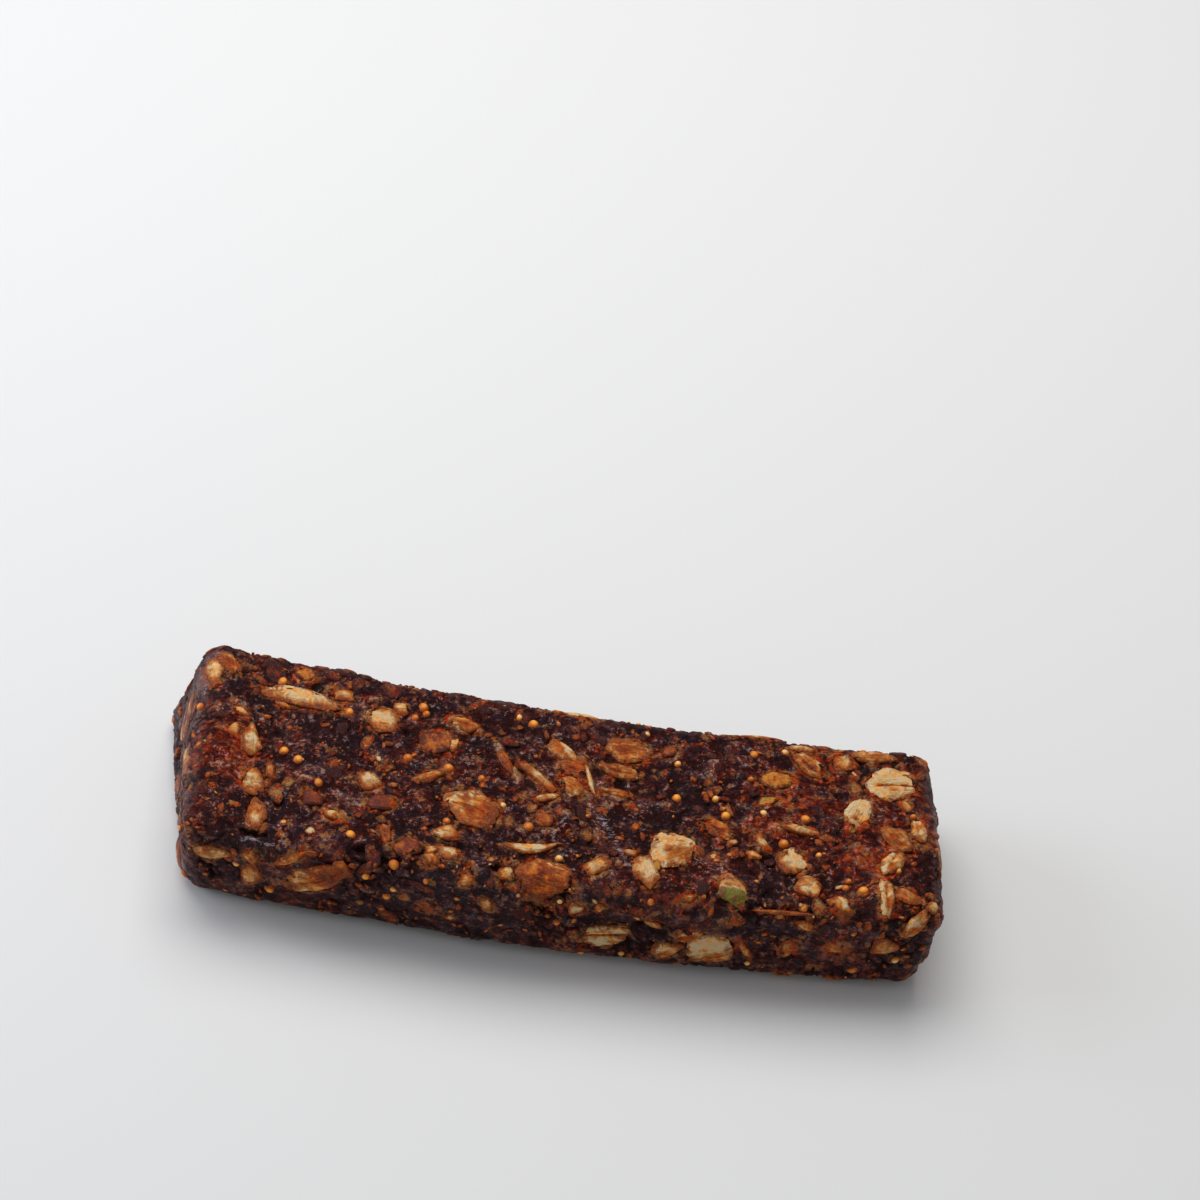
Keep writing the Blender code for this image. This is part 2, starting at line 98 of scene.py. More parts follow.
# Pieces of the two faces that show: kind, place along the face, place across
# it, turn in degrees, length, width, tone (0 cream to 1 red-brown).
TOP_PIECES = [
    ("nut", -48.5, 9.5, -80, 4.5, 2.0, 0.25),
    ("oat", -46.5, 11.0, -40, 4.0, 2.5, 0.85),
    ("fruit", -36.0, 12.0, 0, 3.0, 2.0, 0.45),
    ("sliver", -36.0, 8.0, -5, 12.0, 3.0, 0.10),
    ("nut", -31.0, 10.0, 0, 3.5, 2.0, 0.45),
    ("nut", -38.5, 6.5, -15, 2.0, 1.0, 0.45),
    ("nut", -44.0, 4.0, -25, 1.8, 1.2, 0.25),
    ("nut", -44.5, 1.0, 0, 1.6, 2.0, 0.50),
    ("nut", -42.0, 0.0, -80, 5.0, 2.5, 0.30),
    ("nut", -41.0, -6.0, -45, 3.5, 3.0, 0.35),
    ("nut", -39.0, -4.0, -80, 2.5, 1.2, 0.45),
    ("nut", -40.0, -11.0, -80, 5.0, 2.5, 0.30),
    ("fruit", -33.0, -7.0, -15, 3.0, 2.5, 0.85),
    ("sliver", -30.0, -9.0, -10, 3.0, 1.5, 0.35),
    ("nut", -25.0, 7.5, 5, 4.5, 4.0, 0.0),
    ("nut", -22.5, 10.0, 10, 1.8, 2.0, 0.35),
    ("nut", -26.0, -3.0, -25, 3.5, 2.5, 0.30),
    ("fruit", -24.0, -6.0, 15, 4.0, 2.5, 0.85),
    ("oat", -23.0, -10.5, -80, 3.0, 1.6, 0.75),
    ("fruit", -20.0, -12.0, 15, 4.0, 2.5, 0.80),
    ("fruit", -17.5, 5.5, 20, 4.8, 3.8, 0.64),
    ("nut", -15.0, 5.5, 70, 2.2, 1.2, 0.35),
    ("oat", -14.0, 9.0, -15, 4.6, 2.2, 0.55),
    ("nut", -18.0, -0.5, 30, 4.0, 1.5, 0.35),
    ("oat", -12.0, -4.5, -20, 8.0, 6.0, 0.60),
    ("nut", -15.0, -9.0, 20, 3.0, 2.5, 0.30),
    ("nut", -14.5, -12.0, -30, 2.5, 2.0, 0.35),
    ("nut", -17.0, -12.0, 20, 1.7, 1.3, 0.45),
    ("nut", -16.8, -13.2, -35, 1.8, 1.5, 0.60),
    ("sliver", -8.0, 4.0, -60, 4.2, 1.6, 0.90),
    ("nut", 2.0, 14.4, 0, 5.0, 1.5, 0.0),
    ("nut", -1.0, 14.3, 10, 1.6, 1.4, 0.55),
    ("oat", -0.5, 7.0, -35, 5.5, 2.5, 0.40),
    ("oat", 1.0, 4.5, 5, 4.0, 3.5, 0.95),
    ("oat", 1.0, 1.5, -30, 4.0, 3.0, 0.60),
    ("sliver", 3.2, 3.2, -75, 5.5, 0.7, -0.30),
    ("sliver", -3.5, 2.0, -40, 7.0, 1.5, 0.35),
    ("sliver", -2.2, -1.0, 20, 3.5, 1.3, 0.40),
    ("sliver", -4.0, -9.0, 10, 7.0, 1.5, 0.0),
    ("nut", -2.5, -4.5, -35, 2.5, 2.0, 0.75),
    ("oat", -2.0, -13.5, -10, 7.5, 5.8, 0.95),
    ("nut", 4.5, -11.0, 40, 3.5, 2.5, 0.35),
    ("oat", 8.5, 9.0, 5, 6.5, 4.5, 0.66),
    ("oat", 7.5, 5.5, 0, 6.0, 2.5, 0.35),
    ("sliver", 7.0, 1.5, 0, 4.0, 1.5, 0.60),
    ("nut", 9.0, -8.3, 8, 1.9, 1.2, 0.40),
    ("nut", 11.0, -11.0, -80, 5.0, 3.0, 0.20),
    ("fruit", 12.3, -10.0, -70, 1.8, 1.0, 0.20),
    ("oat", 14.5, -7.0, 25, 6.5, 6.0, -0.06),
    ("fruit", 14.0, 10.0, 25, 2.5, 2.0, 0.75),
    ("sliver", 16.5, -14.2, 15, 2.2, 1.0, 0.65),
    ("oat", 20.0, -2.5, -25, 5.0, 3.0, 0.95),
    ("pumpkin", 22.0, -12.5, -60, 4.4, 3.2, 0.30),
    ("nut", 24.8, -6.5, -15, 1.9, 1.3, 0.55),
    ("sliver", 26.5, 14.8, 0, 6.5, 1.5, 0.50),
    ("sliver", 29.0, -15.0, 0, 8.5, 0.6, 0.80),
    ("fruit", 28.5, 7.0, 10, 5.0, 3.0, 0.40),
    ("fruit", 27.0, 3.0, 15, 3.0, 1.5, 0.22),
    ("nut", 26.0, -4.0, -60, 3.5, 1.5, 0.35),
    ("nut", 30.0, -7.0, -75, 4.0, 3.5, -0.20),
    ("sliver", 31.0, -1.5, -10, 6.0, 1.5, 0.18),
    ("nut", 32.0, -11.0, -15, 3.5, 3.0, 0.28),
    ("oat", 33.0, 10.0, -45, 5.5, 3.0, 0.50),
    ("sliver", 32.0, 13.0, 5, 4.0, 1.5, 0.25),
    ("nut", 36.0, -13.5, -25, 3.5, 2.0, 0.45),
    ("nut", 37.5, 11.5, 5, 3.0, 3.0, 0.40),
    ("oat", 41.5, 13.0, 0, 6.0, 2.5, 0.60),
    ("oat", 39.0, 2.0, 65, 6.0, 3.5, -0.15),
    ("oat", 44.0, 8.0, 10, 7.5, 6.0, -0.36),
    ("nut", 45.6, 4.2, -70, 2.2, 1.5, 0.60),
    ("oat", 44.0, -2.0, -50, 5.5, 3.5, 0.70),
    ("oat", 47.0, 0.0, -80, 4.5, 2.4, 0.30),
    ("oat", 43.0, -6.0, 60, 5.5, 2.6, 0.28),
    ("oat", 42.0, -12.0, 90, 6.0, 2.4, 0.25),
    ("nut", 44.5, -11.5, -30, 3.5, 2.5, 0.45),
]
FRONT_PIECES = [
    ("oat", -45.0, 3.5, 5, 5.0, 2.5, 0.50),
    ("nut", -40.0, 4.0, 90, 2.5, 2.0, 0.50),
    ("nut", -40.0, 0.0, 90, 4.0, 2.5, 0.50),
    ("sliver", -35.0, 5.0, 40, 5.0, 1.5, 0.60),
    ("oat", -31.5, 2.0, 40, 10.0, 4.5, 0.68),
    ("nut", -28.0, 5.0, -65, 3.0, 2.0, 0.60),
    ("fruit", -16.5, 0.0, 5, 2.6, 2.0, 0.80),
    ("nut", -13.5, -1.0, 10, 1.2, 1.2, 0.50),
    ("nut", -12.0, 6.5, 10, 1.7, 1.6, 0.50),
    ("nut", -9.0, 3.0, -55, 2.5, 1.5, 0.50),
    ("nut", -7.2, 8.0, 15, 2.1, 1.7, 0.25),
    ("nut", 2.5, 4.0, 5, 2.5, 2.5, 0.28),
    ("nut", 5.5, 4.5, 10, 1.4, 1.5, 0.50),
    ("oat", 7.0, -1.5, 20, 7.5, 4.5, 0.20),
    ("sliver", 12.8, 2.5, -20, 2.7, 1.3, 0.50),
    ("oat", 17.5, 1.0, 30, 4.5, 2.5, 0.65),
    ("oat", 15.5, -2.5, 35, 4.5, 3.0, 0.35),
    ("oat", 21.0, -1.5, 20, 7.0, 6.5, 0.05),
    ("nut", 23.0, 4.8, 5, 2.0, 1.6, 0.75),
    ("sliver", 25.5, -1.0, -60, 4.5, 1.1, 0.45),
    ("nut", 31.0, 0.0, 10, 3.0, 3.5, 0.75),
    ("sliver", 32.0, 5.0, -30, 3.0, 1.5, 0.60),
    ("nut", 32.0, -6.5, 30, 2.2, 1.8, 0.55),
    ("nut", 37.0, 1.0, -35, 3.5, 2.5, 0.60),
    ("sliver", 39.0, -6.6, 0, 4.0, 1.4, 0.70),
    ("nut", 43.0, 1.5, 10, 3.5, 3.0, 0.40),
    ("oat", 46.0, 6.0, 60, 5.0, 2.5, 0.45),
    ("nut", 48.0, 8.5, -30, 2.2, 1.4, 0.30),
]
# What sets some of these apart, by place: the side that the brown stain lies on,
# which is partly painted shade (degrees, as the piece is laid), how far the middle
# sags across, and how deep the crease along the flake is.
SPECIAL = {
    (-12.0, -4.5): {"stain": -25, "crease": 0.12},
    (-2.0, -13.5): {"crease": 0.0},
    (14.5, -7.0): {"stain": -50, "crease": 0.05},
    (44.0, 8.0): {"stain": -60, "crease": 0.40},
    (39.0, 2.0): {"stain": 180, "crease": 0.05},
    (-4.0, -9.0): {"sag": -0.9},
    (-36.0, 8.0): {"sag": 0.5, "stain": -90},
    (7.5, 5.5): {"sag": -0.8},
    (7.0, -1.5): {"crease": 0.40},
    (21.0, -1.5): {"stain": -95, "crease": 0.02},
    (-31.5, 2.0): {"stain": 0, "crease": 0.12},
    (30.0, -7.0): {"stain": -90},
    (22.0, -12.5): {"stain": 150},
}
# How strong the stain and its painted shade are on those that name its side, and on all others.
BOLD_STAIN_AND_SHADE = 2.4
FAINT_STAIN_AND_SHADE = 0.7

# Fig seeds that show best, by place on each face.
SEED_SIZE = 1.4
TOP_SEEDS = [
    (-39.0, 10.5), (-37.5, -0.5), (-35.5, -1.5), (-32.5, -4.5), (-29.5, 7.5),
    (-19.5, 11.0), (-21.0, 2.0), (-15.5, 1.5), (-27.5, -11.5), (-4.5, 11.0),
    (-4.5, -6.0), (15.0, 2.0), (21.5, 0.0), (32.0, 0.5), (29.0, -4.0),
    (25.5, 11.0), (39.0, -11.0),
]
FRONT_SEEDS = [(-37.5, -2.5), (-21.5, 7.0), (-25.0, 4.5), (-22.0, 1.0), (40.5, -3.5)]
# How much longer than wide a fig seed is, and the share of it that is sunk.
SEED_STRETCH = 1.08
SEED_SUNK = 0.25
# Smaller and paler seeds.
SMALL_SEED_SIZE = 0.95
TOP_SMALL_SEEDS = [
    (-11.0, 0.7), (-8.0, -3.2), (-15.2, -7.0), (15.2, 8.0), (-0.3, -10.2), (29.7, 12.0),
    (25.0, 6.7), (20.2, 2.7), (26.5, 1.0), (33.5, -5.5), (36.7, -10.7), (37.2, -9.5),
    (43.7, -7.2), (-19.0, 10.0), (-20.5, 9.0), (46.5, 2.5), (-6.5, 11.8), (11.0, 12.5),
]
FRONT_SMALL_SEEDS = [
    (-21.2, 2.7), (-17.2, 5.5), (-6.7, -1.2), (0.5, 0.7), (4.7, -5.7), (10.0, -4.8),
    (11.7, 6.5), (38.5, 4.0), (45.5, -1.2), (26.7, -4.2), (32.7, -5.7), (-42.0, 2.0),
    (0.2, 5.2), (-3.5, 6.8),
]

# Pieces on the faces that don't show: how many on each, and their kinds in turn.
SPREAD = {"back": 16, "left": 5, "right": 5}
SPREAD_SEEDS = {"back": 17, "left": 21, "right": 19}
SPREAD_KINDS = ["oat", "nut", "oat", "sliver", "nut", "fruit"]
SPREAD_SIZES = {
    "oat": (7.0, 5.0),
    "nut": (3.8, 3.0),
    "sliver": (6.5, 1.8),
    "fruit": (3.6, 2.6),
}
# How far their places stay from the face's ends and sides.
SPREAD_MARGIN = (3.5, 3.0)
# Their tones, and the duller ones of the left end.
SPREAD_TONES = [0.15, 0.3, 0.45, 0.6, 0.8]
DULL_TONES = [0.6, 0.75, 0.9]
# The underside is pressed flat, so its pieces lie flush.
UNDER_COUNT = 34
UNDER_SEED = 33
# How high each kind's flat face lies there, against the plane that the bar lies
# on, and by how much this varies from piece to piece.
UNDER_LEVEL = {
    "oat": -0.005,
    "nut": -0.01,
    "sliver": -0.02,
    "fruit": -0.02,
    "seed": -0.035,
    "chip": -0.07,
    "crumb": -0.055,
}
UNDER_STEP = 0.01
# How far inside that plane the paste between them lies.
UNDER_SINK = 0.12

# Seeds of the random draws for the larger pieces and for the fig seeds.
PIECE_SEED = 91
FIG_SEED = 92

# Crumbs of oat bran, nut and fruit skin: how many on each face, their sizes, and
# their tones with the share of each.
CRUMBS = {"top": 230, "front": 130, "back": 130, "left": 40, "right": 40, "under": 150}
CRUMB_SIZE = (0.45, 1.5)
CRUMB_TONES = ([0.1, 0.4, 0.65, 0.85, 1.1], [0.05, 0.1, 0.2, 0.3, 0.35])
CRUMB_SEED = 71
# Flat chips of fruit skin and toasted bran, which show little against the paste.
CHIPS = {"top": 90, "front": 46, "back": 46, "left": 14, "right": 14, "under": 30}
CHIP_SIZE = (1.5, 3.6)
CHIP_TONES = ([0.3, 0.6, 0.85, 1.1], [0.15, 0.25, 0.35, 0.25])
CHIP_SEED = 72
# Seeds on the faces that don't show.
SPREAD_SEED_COUNT = {"back": 14, "left": 5, "right": 5, "under": 16}

# Holes between pieces on the top and the front: along, across, radius, depth.
TOP_PITS = [
    (-34.0, 10.5, 0.8, 1.0), (-25.8, -13.5, 0.9, 1.1), (-18.2, -12.3, 0.6, 0.8),
    (-38.7, 2.0, 0.6, 0.6), (-13.0, -10.5, 0.6, 0.8), (26.8, -6.8, 0.9, 0.9),
    (-8.2, -13.0, 0.8, 0.8), (24.8, -9.2, 0.6, 0.7), (-43.5, -13.0, 0.8, 0.7),
    (26.8, -12.5, 0.7, 0.8), (6.0, 7.2, 0.8, 0.8), (-37.2, -8.2, 0.6, 0.6),
    (-21.0, 6.5, 0.8, 0.8), (-11.5, 0.0, 0.8, 0.6), (7.5, 3.2, 0.8, 0.7),
    (36.8, 5.2, 0.8, 0.7), (34.0, -13.2, 0.7, 0.8), (12.0, -9.2, 0.5, 0.6),
]
FRONT_PITS = [
    (-45.5, 0.2, 0.5, 1.2), (-45.5, -1.2, 0.5, 1.2), (0.2, 5.6, 0.6, 0.8),
    (11.2, 1.5, 0.8, 0.8), (-22.8, 7.2, 0.6, 0.7), (10.0, -2.8, 0.9, 0.9),
    (18.0, 0.0, 0.6, 0.8), (13.8, -2.0, 0.6, 0.7),
]
# Cracks as runs of small pits between two places: face, from, to, radius, depth.
CRACKS = [
    ("top", (-41.5, -13.6), (-38.5, -13.9), 0.35, 0.8),
    ("top", (-45.5, -12.4), (-42.5, -13.2), 0.30, 0.6),
    ("top", (24.5, -14.6), (33.0, -14.7), 0.30, 0.5),
    ("top", (-6.0, 3.0), (-2.5, -2.0), 0.30, 0.5),
    ("top", (1.5, -2.5), (4.5, -8.5), 0.30, 0.5),
    ("front", (-24.0, 6.4), (-21.0, 7.6), 0.30, 0.6),
]

# Where the paste is redder and syrupy (1) or darker and dry (-1), by face:
# along, across, radius, tone. The wide row at 36 along makes the right half of the
# top lighter as a whole. The rows of the front and of the left end are painted
# shade and painted reflection: they darken those faces and turn them bluer and greyer.
PATCHES = {
    "top": [
        (-46.5, -2.0, 4.0, 1.2), (-46.0, -13.0, 3.5, 0.5), (-45.0, -2.0, 5.0, 1.0),
        (-43.0, -3.0, 4.0, 1.1), (-36.5, 10.5, 5.0, 0.6), (-35.0, -10.0, 4.5, -1.1),
        (-29.0, 3.0, 6.0, -0.8), (-24.0, -5.5, 4.0, 0.7), (-21.0, -10.5, 4.0, -0.5),
        (-17.5, 5.0, 5.0, 1.1), (-10.5, -12.2, 4.5, -1.1), (-6.0, 7.0, 4.5, -0.6),
        (-3.0, 0.5, 5.0, 0.6), (1.0, -2.5, 4.0, -0.6), (4.0, -12.0, 4.0, -0.7),
        (7.0, 6.0, 6.0, 0.8), (10.0, -2.0, 5.0, -1.0), (16.0, -11.5, 4.5, 1.0),
        (17.0, 9.0, 4.0, -0.5), (18.0, 2.0, 4.0, -0.5), (28.0, -10.0, 4.0, -1.1),
        (36.0, 2.0, 16.0, 1.1), (36.5, -6.5, 6.0, 0.7), (44.0, -4.0, 6.0, 0.9),
    ],
    "front": [
        (-40.5, -4.8, 5.0, -0.3), (-20.0, 0.0, 9.0, -0.6), (-9.5, 0.0, 9.0, -0.7),
        (18.0, 0.0, 12.0, -0.4), (32.5, 0.0, 8.0, -0.4),
    ],
    "left": [(0.0, 0.0, 12.0, -0.6)],
}

# Pale fibres and torn skin on the paste: face, from, to, width. The last two rows lie along the left edge
# of the top and are painted sheen on that edge.
FIBRES_AND_EDGE_SHEEN = [
    ("top", (5.0, -3.0), (8.5, -9.5), 0.55),
    ("top", (3.5, -1.5), (6.0, -4.5), 0.40),
    ("top", (-4.0, 8.5), (1.0, 4.5), 0.45),
    ("top", (17.0, -8.5), (21.0, -9.5), 0.45),
    ("top", (-41.5, -15.0), (-36.0, -14.5), 0.45),
    ("top", (-48.5, 13.0), (-49.5, 6.0), 0.60),
    ("top", (-50.0, 4.0), (-50.5, -6.0), 0.60),
]

# Height of a piece's middle above the paste, and how deep it is sunk.
STAND = {
    "oat": 0.34,
    "nut": 0.32,
    "sliver": 0.34,
    "fruit": 0.28,
    "pumpkin": 0.34,
    "chip": 0.12,
    "crumb": 0.18,
}
SUNK = 0.9
# How many rings and sides each kind's mesh has.
RINGS = {"oat": 11, "nut": 8, "sliver": 8, "fruit": 7, "pumpkin": 9, "chip": 4, "crumb": 2}
SIDES = {"oat": 34, "nut": 26, "sliver": 26, "fruit": 26, "pumpkin": 26, "chip": 16, "crumb": 7}
# How many straight cuts bound each kind's outline, how far from even they lie,
# how sharp their corners are, and how ragged the outline is.
CUTS = {
    "oat": (7, 0.40, 9, 0.036),
    "nut": (4, 0.38, 9, 0.026),
    "sliver": (6, 0.35, 8, 0.030),
    "fruit": (5, 0.35, 9, 0.020),
    "pumpkin": (5, 0.40, 9, 0.030),
    "chip": (5, 0.50, 8, 0.030),
    "crumb": (5, 0.60, 7, 0.000),
}
RAGGED_WAVES = (3, 5, 9, 14)
# Half width of the crease along an oat flake.
CREASE_WIDTH = 0.34
# How far the paste lies below its skin under a piece. Round the piece it is
# here a groove and there a tongue that laps over the edge.
SOCKET = 0.50
GROOVE_DEPTH = 0.22
TONGUE_HEIGHT = 0.42
TONGUE_REACH = 0.28
EDGE_REACH = 0.36
# Where the edge of a piece lies, as a share of its half width.
RIM_SHARE = 0.93
# Noise that says where the paste laps over a piece: (size, share, seed).
LAPS = [(1.9, 1.0, 52), (0.9, 0.6, 53)]
# How strong the painted sheen of the front is, where both ends are at 1: a grey-violet reflection painted
# into the colour.
FRONT_PAINTED_SHEEN = 0.22
# How far syrup has soaked into the paste round a piece.
HALO_REACH = 1.1

# The camera: an 85 mm lens on a 36 mm sensor, square picture 1200 across. The
# middle of the bar shows at AIM, and the picture is turned clockwise by ROLL.
PICTURE = 1200
LENS = 85.0
SENSOR = 36.0
DISTANCE = 378.8
ELEVATION = 45.1
YAW = -1.0
ROLL = 6.93
AIM = (561.4, 815.3)
# The floor, in metres: half its size, and how far it lies below the bar's plane
# so that the two don't meet.
FLOOR_HALF = 1.5
FLOOR_DROP = 0.0001
# How bright the room is, and its softboxes: place and size in metres, watts, colour.
ROOM_LIGHT = 0.27
SOFTBOXES = {
    "top_softbox": ((-0.10, 0.27, 0.54), (0.60, 0.45), 3.0, (1.0, 0.99, 0.97)),
    "left_softbox": ((-0.60, 0.05, 0.25), (0.4, 0.3), 1.7, (0.80, 0.87, 1.0)),
}


def lattice_value(i, j, k, seed):
    """One fixed number between -1 and 1 for each point of a whole-number lattice."""
    n = (i * 374761 + j * 668265 + k * 1274126 + seed * 97463) & 0xFFFFFF
    n = ((n ^ (n >> 11)) * 2246822 + 3266489) & 0xFFFFFFFF
    n = ((n ^ (n >> 15)) * 668265) & 0xFFFFFFFF
    return (n ^ (n >> 13)) % 65536 / 32767.5 - 1


def soft_noise(points, size, seed):
    """Smooth lumps about `size` across, between -1 and 1."""
    scaled = points / size
    low = np.floor(scaled).astype(np.int64)
    part = scaled - low
    part = part * part * (3 - 2 * part)
    total = np.zeros(len(points))
    for a in (0, 1):
        for b in (0, 1):
            for c in (0, 1):
                weight = np.where(a, part[:, 0], 1 - part[:, 0])
                weight = weight * np.where(b, part[:, 1], 1 - part[:, 1])
                weight = weight * np.where(c, part[:, 2], 1 - part[:, 2])
                total += weight * lattice_value(low[:, 0] + a, low[:, 1] + b, low[:, 2] + c, seed)
    return total


def chunk_edges(points, size, seed):
    """How far each point is from the border between two chunks, in chunk sizes."""
    scaled = points / size
    low = np.floor(scaled).astype(np.int64)
    first = np.full(len(points), 9.0)
    second = first.copy()
    for a in (-1, 0, 1):
        for b in (-1, 0, 1):
            for c in (-1, 0, 1):
                corner = low + (a, b, c)
                shift = [lattice_value(*corner.T, seed + n) for n in range(3)]
                gap = np.linalg.norm(scaled - corner - 0.5 - 0.42 * np.stack(shift, axis=1), axis=1)
                second = np.minimum(second, np.maximum(first, gap))
                first = np.minimum(first, gap)
    return second - first


def fold_over(place, half):
    """Carries a place measured along a face over its rounded edge, true to length."""
    past = np.abs(place) - (half - EDGE_RADIUS)
    angle = np.clip(past / EDGE_RADIUS, 0, np.pi / 2)
    round_place = half - EDGE_RADIUS + EDGE_RADIUS * np.sin(angle)
    round_drop = EDGE_RADIUS * (1 - np.cos(angle)) + np.maximum(past - EDGE_RADIUS * np.pi / 2, 0)
    flat = past <= 0
    return np.where(flat, place, np.sign(place) * round_place), np.where(flat, 0, round_drop)


def nearest_on_box(points):
    """The point of the rounded box nearest to each point, and the way out there."""
    inner = np.clip(points, EDGE_RADIUS - HALF, HALF - EDGE_RADIUS)
    outwards = points - inner
    outwards /= np.maximum(np.linalg.norm(outwards, axis=1), 1e-9)[:, None]
    return inner + EDGE_RADIUS * outwards, outwards


def on_face(face, along, across):
    """Points of the rounded box at places measured on a face, and the way out there."""
    axis_along, axis_across, axis_out, sign = FACES[face]
    place_along, drop_along = fold_over(along, HALF[axis_along])
    place_across, drop_across = fold_over(across, HALF[axis_across])
    points = np.zeros((len(along), 3))
    points[:, axis_along] = place_along
    points[:, axis_across] = place_across
    points[:, axis_out] = sign * (HALF[axis_out] - drop_along - drop_across)
    return nearest_on_box(points)


def spot(face, along, across):
    """One place on a face, as a point."""
    return on_face(face, np.array([float(along)]), np.array([float(across)]))[0][0]


def lump_height(points):
    """How far the soft lumps raise the paste at each point."""
    fade = np.clip((points[:, 2] + HALF[2]) / LUMP_FADE, 0, 1)
    height = np.zeros(len(points))
    for size, amount, seed in LUMPS:
        height += amount * soft_noise(points, size, seed)
    return height * fade * fade * (3 - 2 * fade)


def bend(points):
    """Takes points of the straight bar to the bent bar that stands on the ground."""
    side = np.clip(points / HALF, -1.2, 1.2)
    pushed = points.copy()
    for (i, j, k), along, across in CORNER_PUSH:
        weight = (1 + i * side[:, 0]) * (1 + j * side[:, 1]) * (1 + k * side[:, 2]) / 8
        pushed[:, 0] += weight * along
        pushed[:, 1] += weight * across
    pushed[:, 1] -= BOW * (1 - side[:, 0] ** 2)
    pushed[:, 2] = np.maximum(pushed[:, 2] + HALF[2], 0)
    pushed[:, :2] -= PLAN_MIDDLE
    return pushed


def spread_places(count, half_along, half_across, rng):
    """Even places over a face: each is the one of many draws farthest from the rest."""
    places = []
    for _ in range(count):
        draws = rng.uniform(-1, 1, (60, 2)) * (half_along, half_across)
        if places:
            gaps = np.linalg.norm(draws[:, None] - np.array(places)[None], axis=2).min(axis=1)
            places.append(draws[np.argmax(gaps)])
        else:
            places.append(draws[0])
    return places


def spread_rows(face, count, seed):
    """Pieces spread over a face that doesn't show, as the solid has them."""
    rng = np.random.default_rng(seed)
    axis_along, axis_across, _, _ = FACES[face]
    reach = HALF[[axis_along, axis_across]] - SPREAD_MARGIN
    rows = []
    for along, across in spread_places(count, *reach, rng):
        kind = SPREAD_KINDS[len(rows) % len(SPREAD_KINDS)]
        length, width = np.array(SPREAD_SIZES[kind]) * rng.uniform(0.8, 1.1)
        rows.append((kind, along, across, rng.uniform(-50, 50), length, width))
    return rows


def tinted(rows, tones, seed):
    """Adds a tone to rows that have none."""
    rng = np.random.default_rng(seed)
    return [row + (rng.choice(tones),) for row in rows]


def all_rows():
    """Every piece larger than a crumb, by face."""
    rows = {"top": list(TOP_PIECES), "front": list(FRONT_PIECES)}
    for face, count in SPREAD.items():
        tones = DULL_TONES if face == "left" else SPREAD_TONES
        rows[face] = tinted(spread_rows(face, count, SPREAD_SEEDS[face]), tones, SPREAD_SEEDS[face])
    rows["under"] = tinted(spread_rows("under", UNDER_COUNT, UNDER_SEED), SPREAD_TONES, UNDER_SEED)
    return rows


def small_rows(kind, face, count, sizes, tones, taken, rng):
    """Small bits of one kind between the larger pieces of a face."""
    axis_along, axis_across, _, _ = FACES[face]
    reach = np.array([HALF[axis_along] + 0.5, HALF[axis_across] + 0.5])
    centres = np.array([(row[1], row[2]) for row in taken])
    spans = np.array([(row[4] * row[5]) ** 0.5 / 2 for row in taken])
    rows = []
    while len(rows) < count:
        place = rng.uniform(-1, 1, 2) * reach
        length = sizes[0] + (sizes[1] - sizes[0]) * rng.uniform() ** 2.2
        width = length * rng.uniform(0.35, 0.9)
        turn = rng.uniform(-90, 90)
        tone = rng.choice(tones[0], p=tones[1])
        if np.all(np.linalg.norm(centres - place, axis=1) > spans + length / 2):
            rows.append((kind, place[0], place[1], turn, length, width, tone))
    return rows


def box_grid():
    """A box of square cells with shared corners, as points and four-sided faces."""
    counts = np.maximum(np.round(2 * HALF / CELL).astype(int), 2)
    lattice = np.full(counts + 1, -1, dtype=np.int64)
    shell = np.zeros(counts + 1, dtype=bool)
    for axis in range(3):
        side = [slice(None)] * 3
        for end in (0, -1):
            side[axis] = end
            shell[tuple(side)] = True
    places = np.argwhere(shell)
    lattice[shell] = np.arange(len(places))
    faces = []
    for axis in range(3):
        first, second = [(1, 2), (2, 0), (0, 1)][axis]
        for end in (0, counts[axis]):
            a, b = np.meshgrid(np.arange(counts[first]), np.arange(counts[second]), indexing="ij")
            ring = []
            for step_a, step_b in ((0, 0), (1, 0), (1, 1), (0, 1)):
                index = [None] * 3
                index[axis] = np.full(a.size, end)
                index[first] = a.ravel() + step_a
                index[second] = b.ravel() + step_b
                ring.append(lattice[index[0], index[1], index[2]])
            quads = np.stack(ring, axis=1)
            faces.append(quads if end else quads[:, ::-1])
    return -HALF + 2 * HALF * places / counts, np.concatenate(faces)


def make_mesh(name, points, faces, marks):
    """A smooth object from points in metres, faces, and named values on each point."""
    mesh = bpy.data.meshes.new(name)
    mesh.from_pydata(points.tolist(), [], [list(map(int, face)) for face in faces])
    mesh.update()
    for mark, values in marks.items():
        values = np.asarray(values, dtype=np.float32)
        kind, field = ("FLOAT_VECTOR", "vector") if values.ndim == 2 else ("FLOAT", "value")
        layer = mesh.attributes.new(mark, kind, "POINT")
        layer.data.foreach_set(field, values.ravel())
    mesh.polygons.foreach_set("use_smooth", [True] * len(mesh.polygons))
    made = bpy.data.objects.new(name, mesh)
    bpy.context.scene.collection.objects.link(made)
    return made


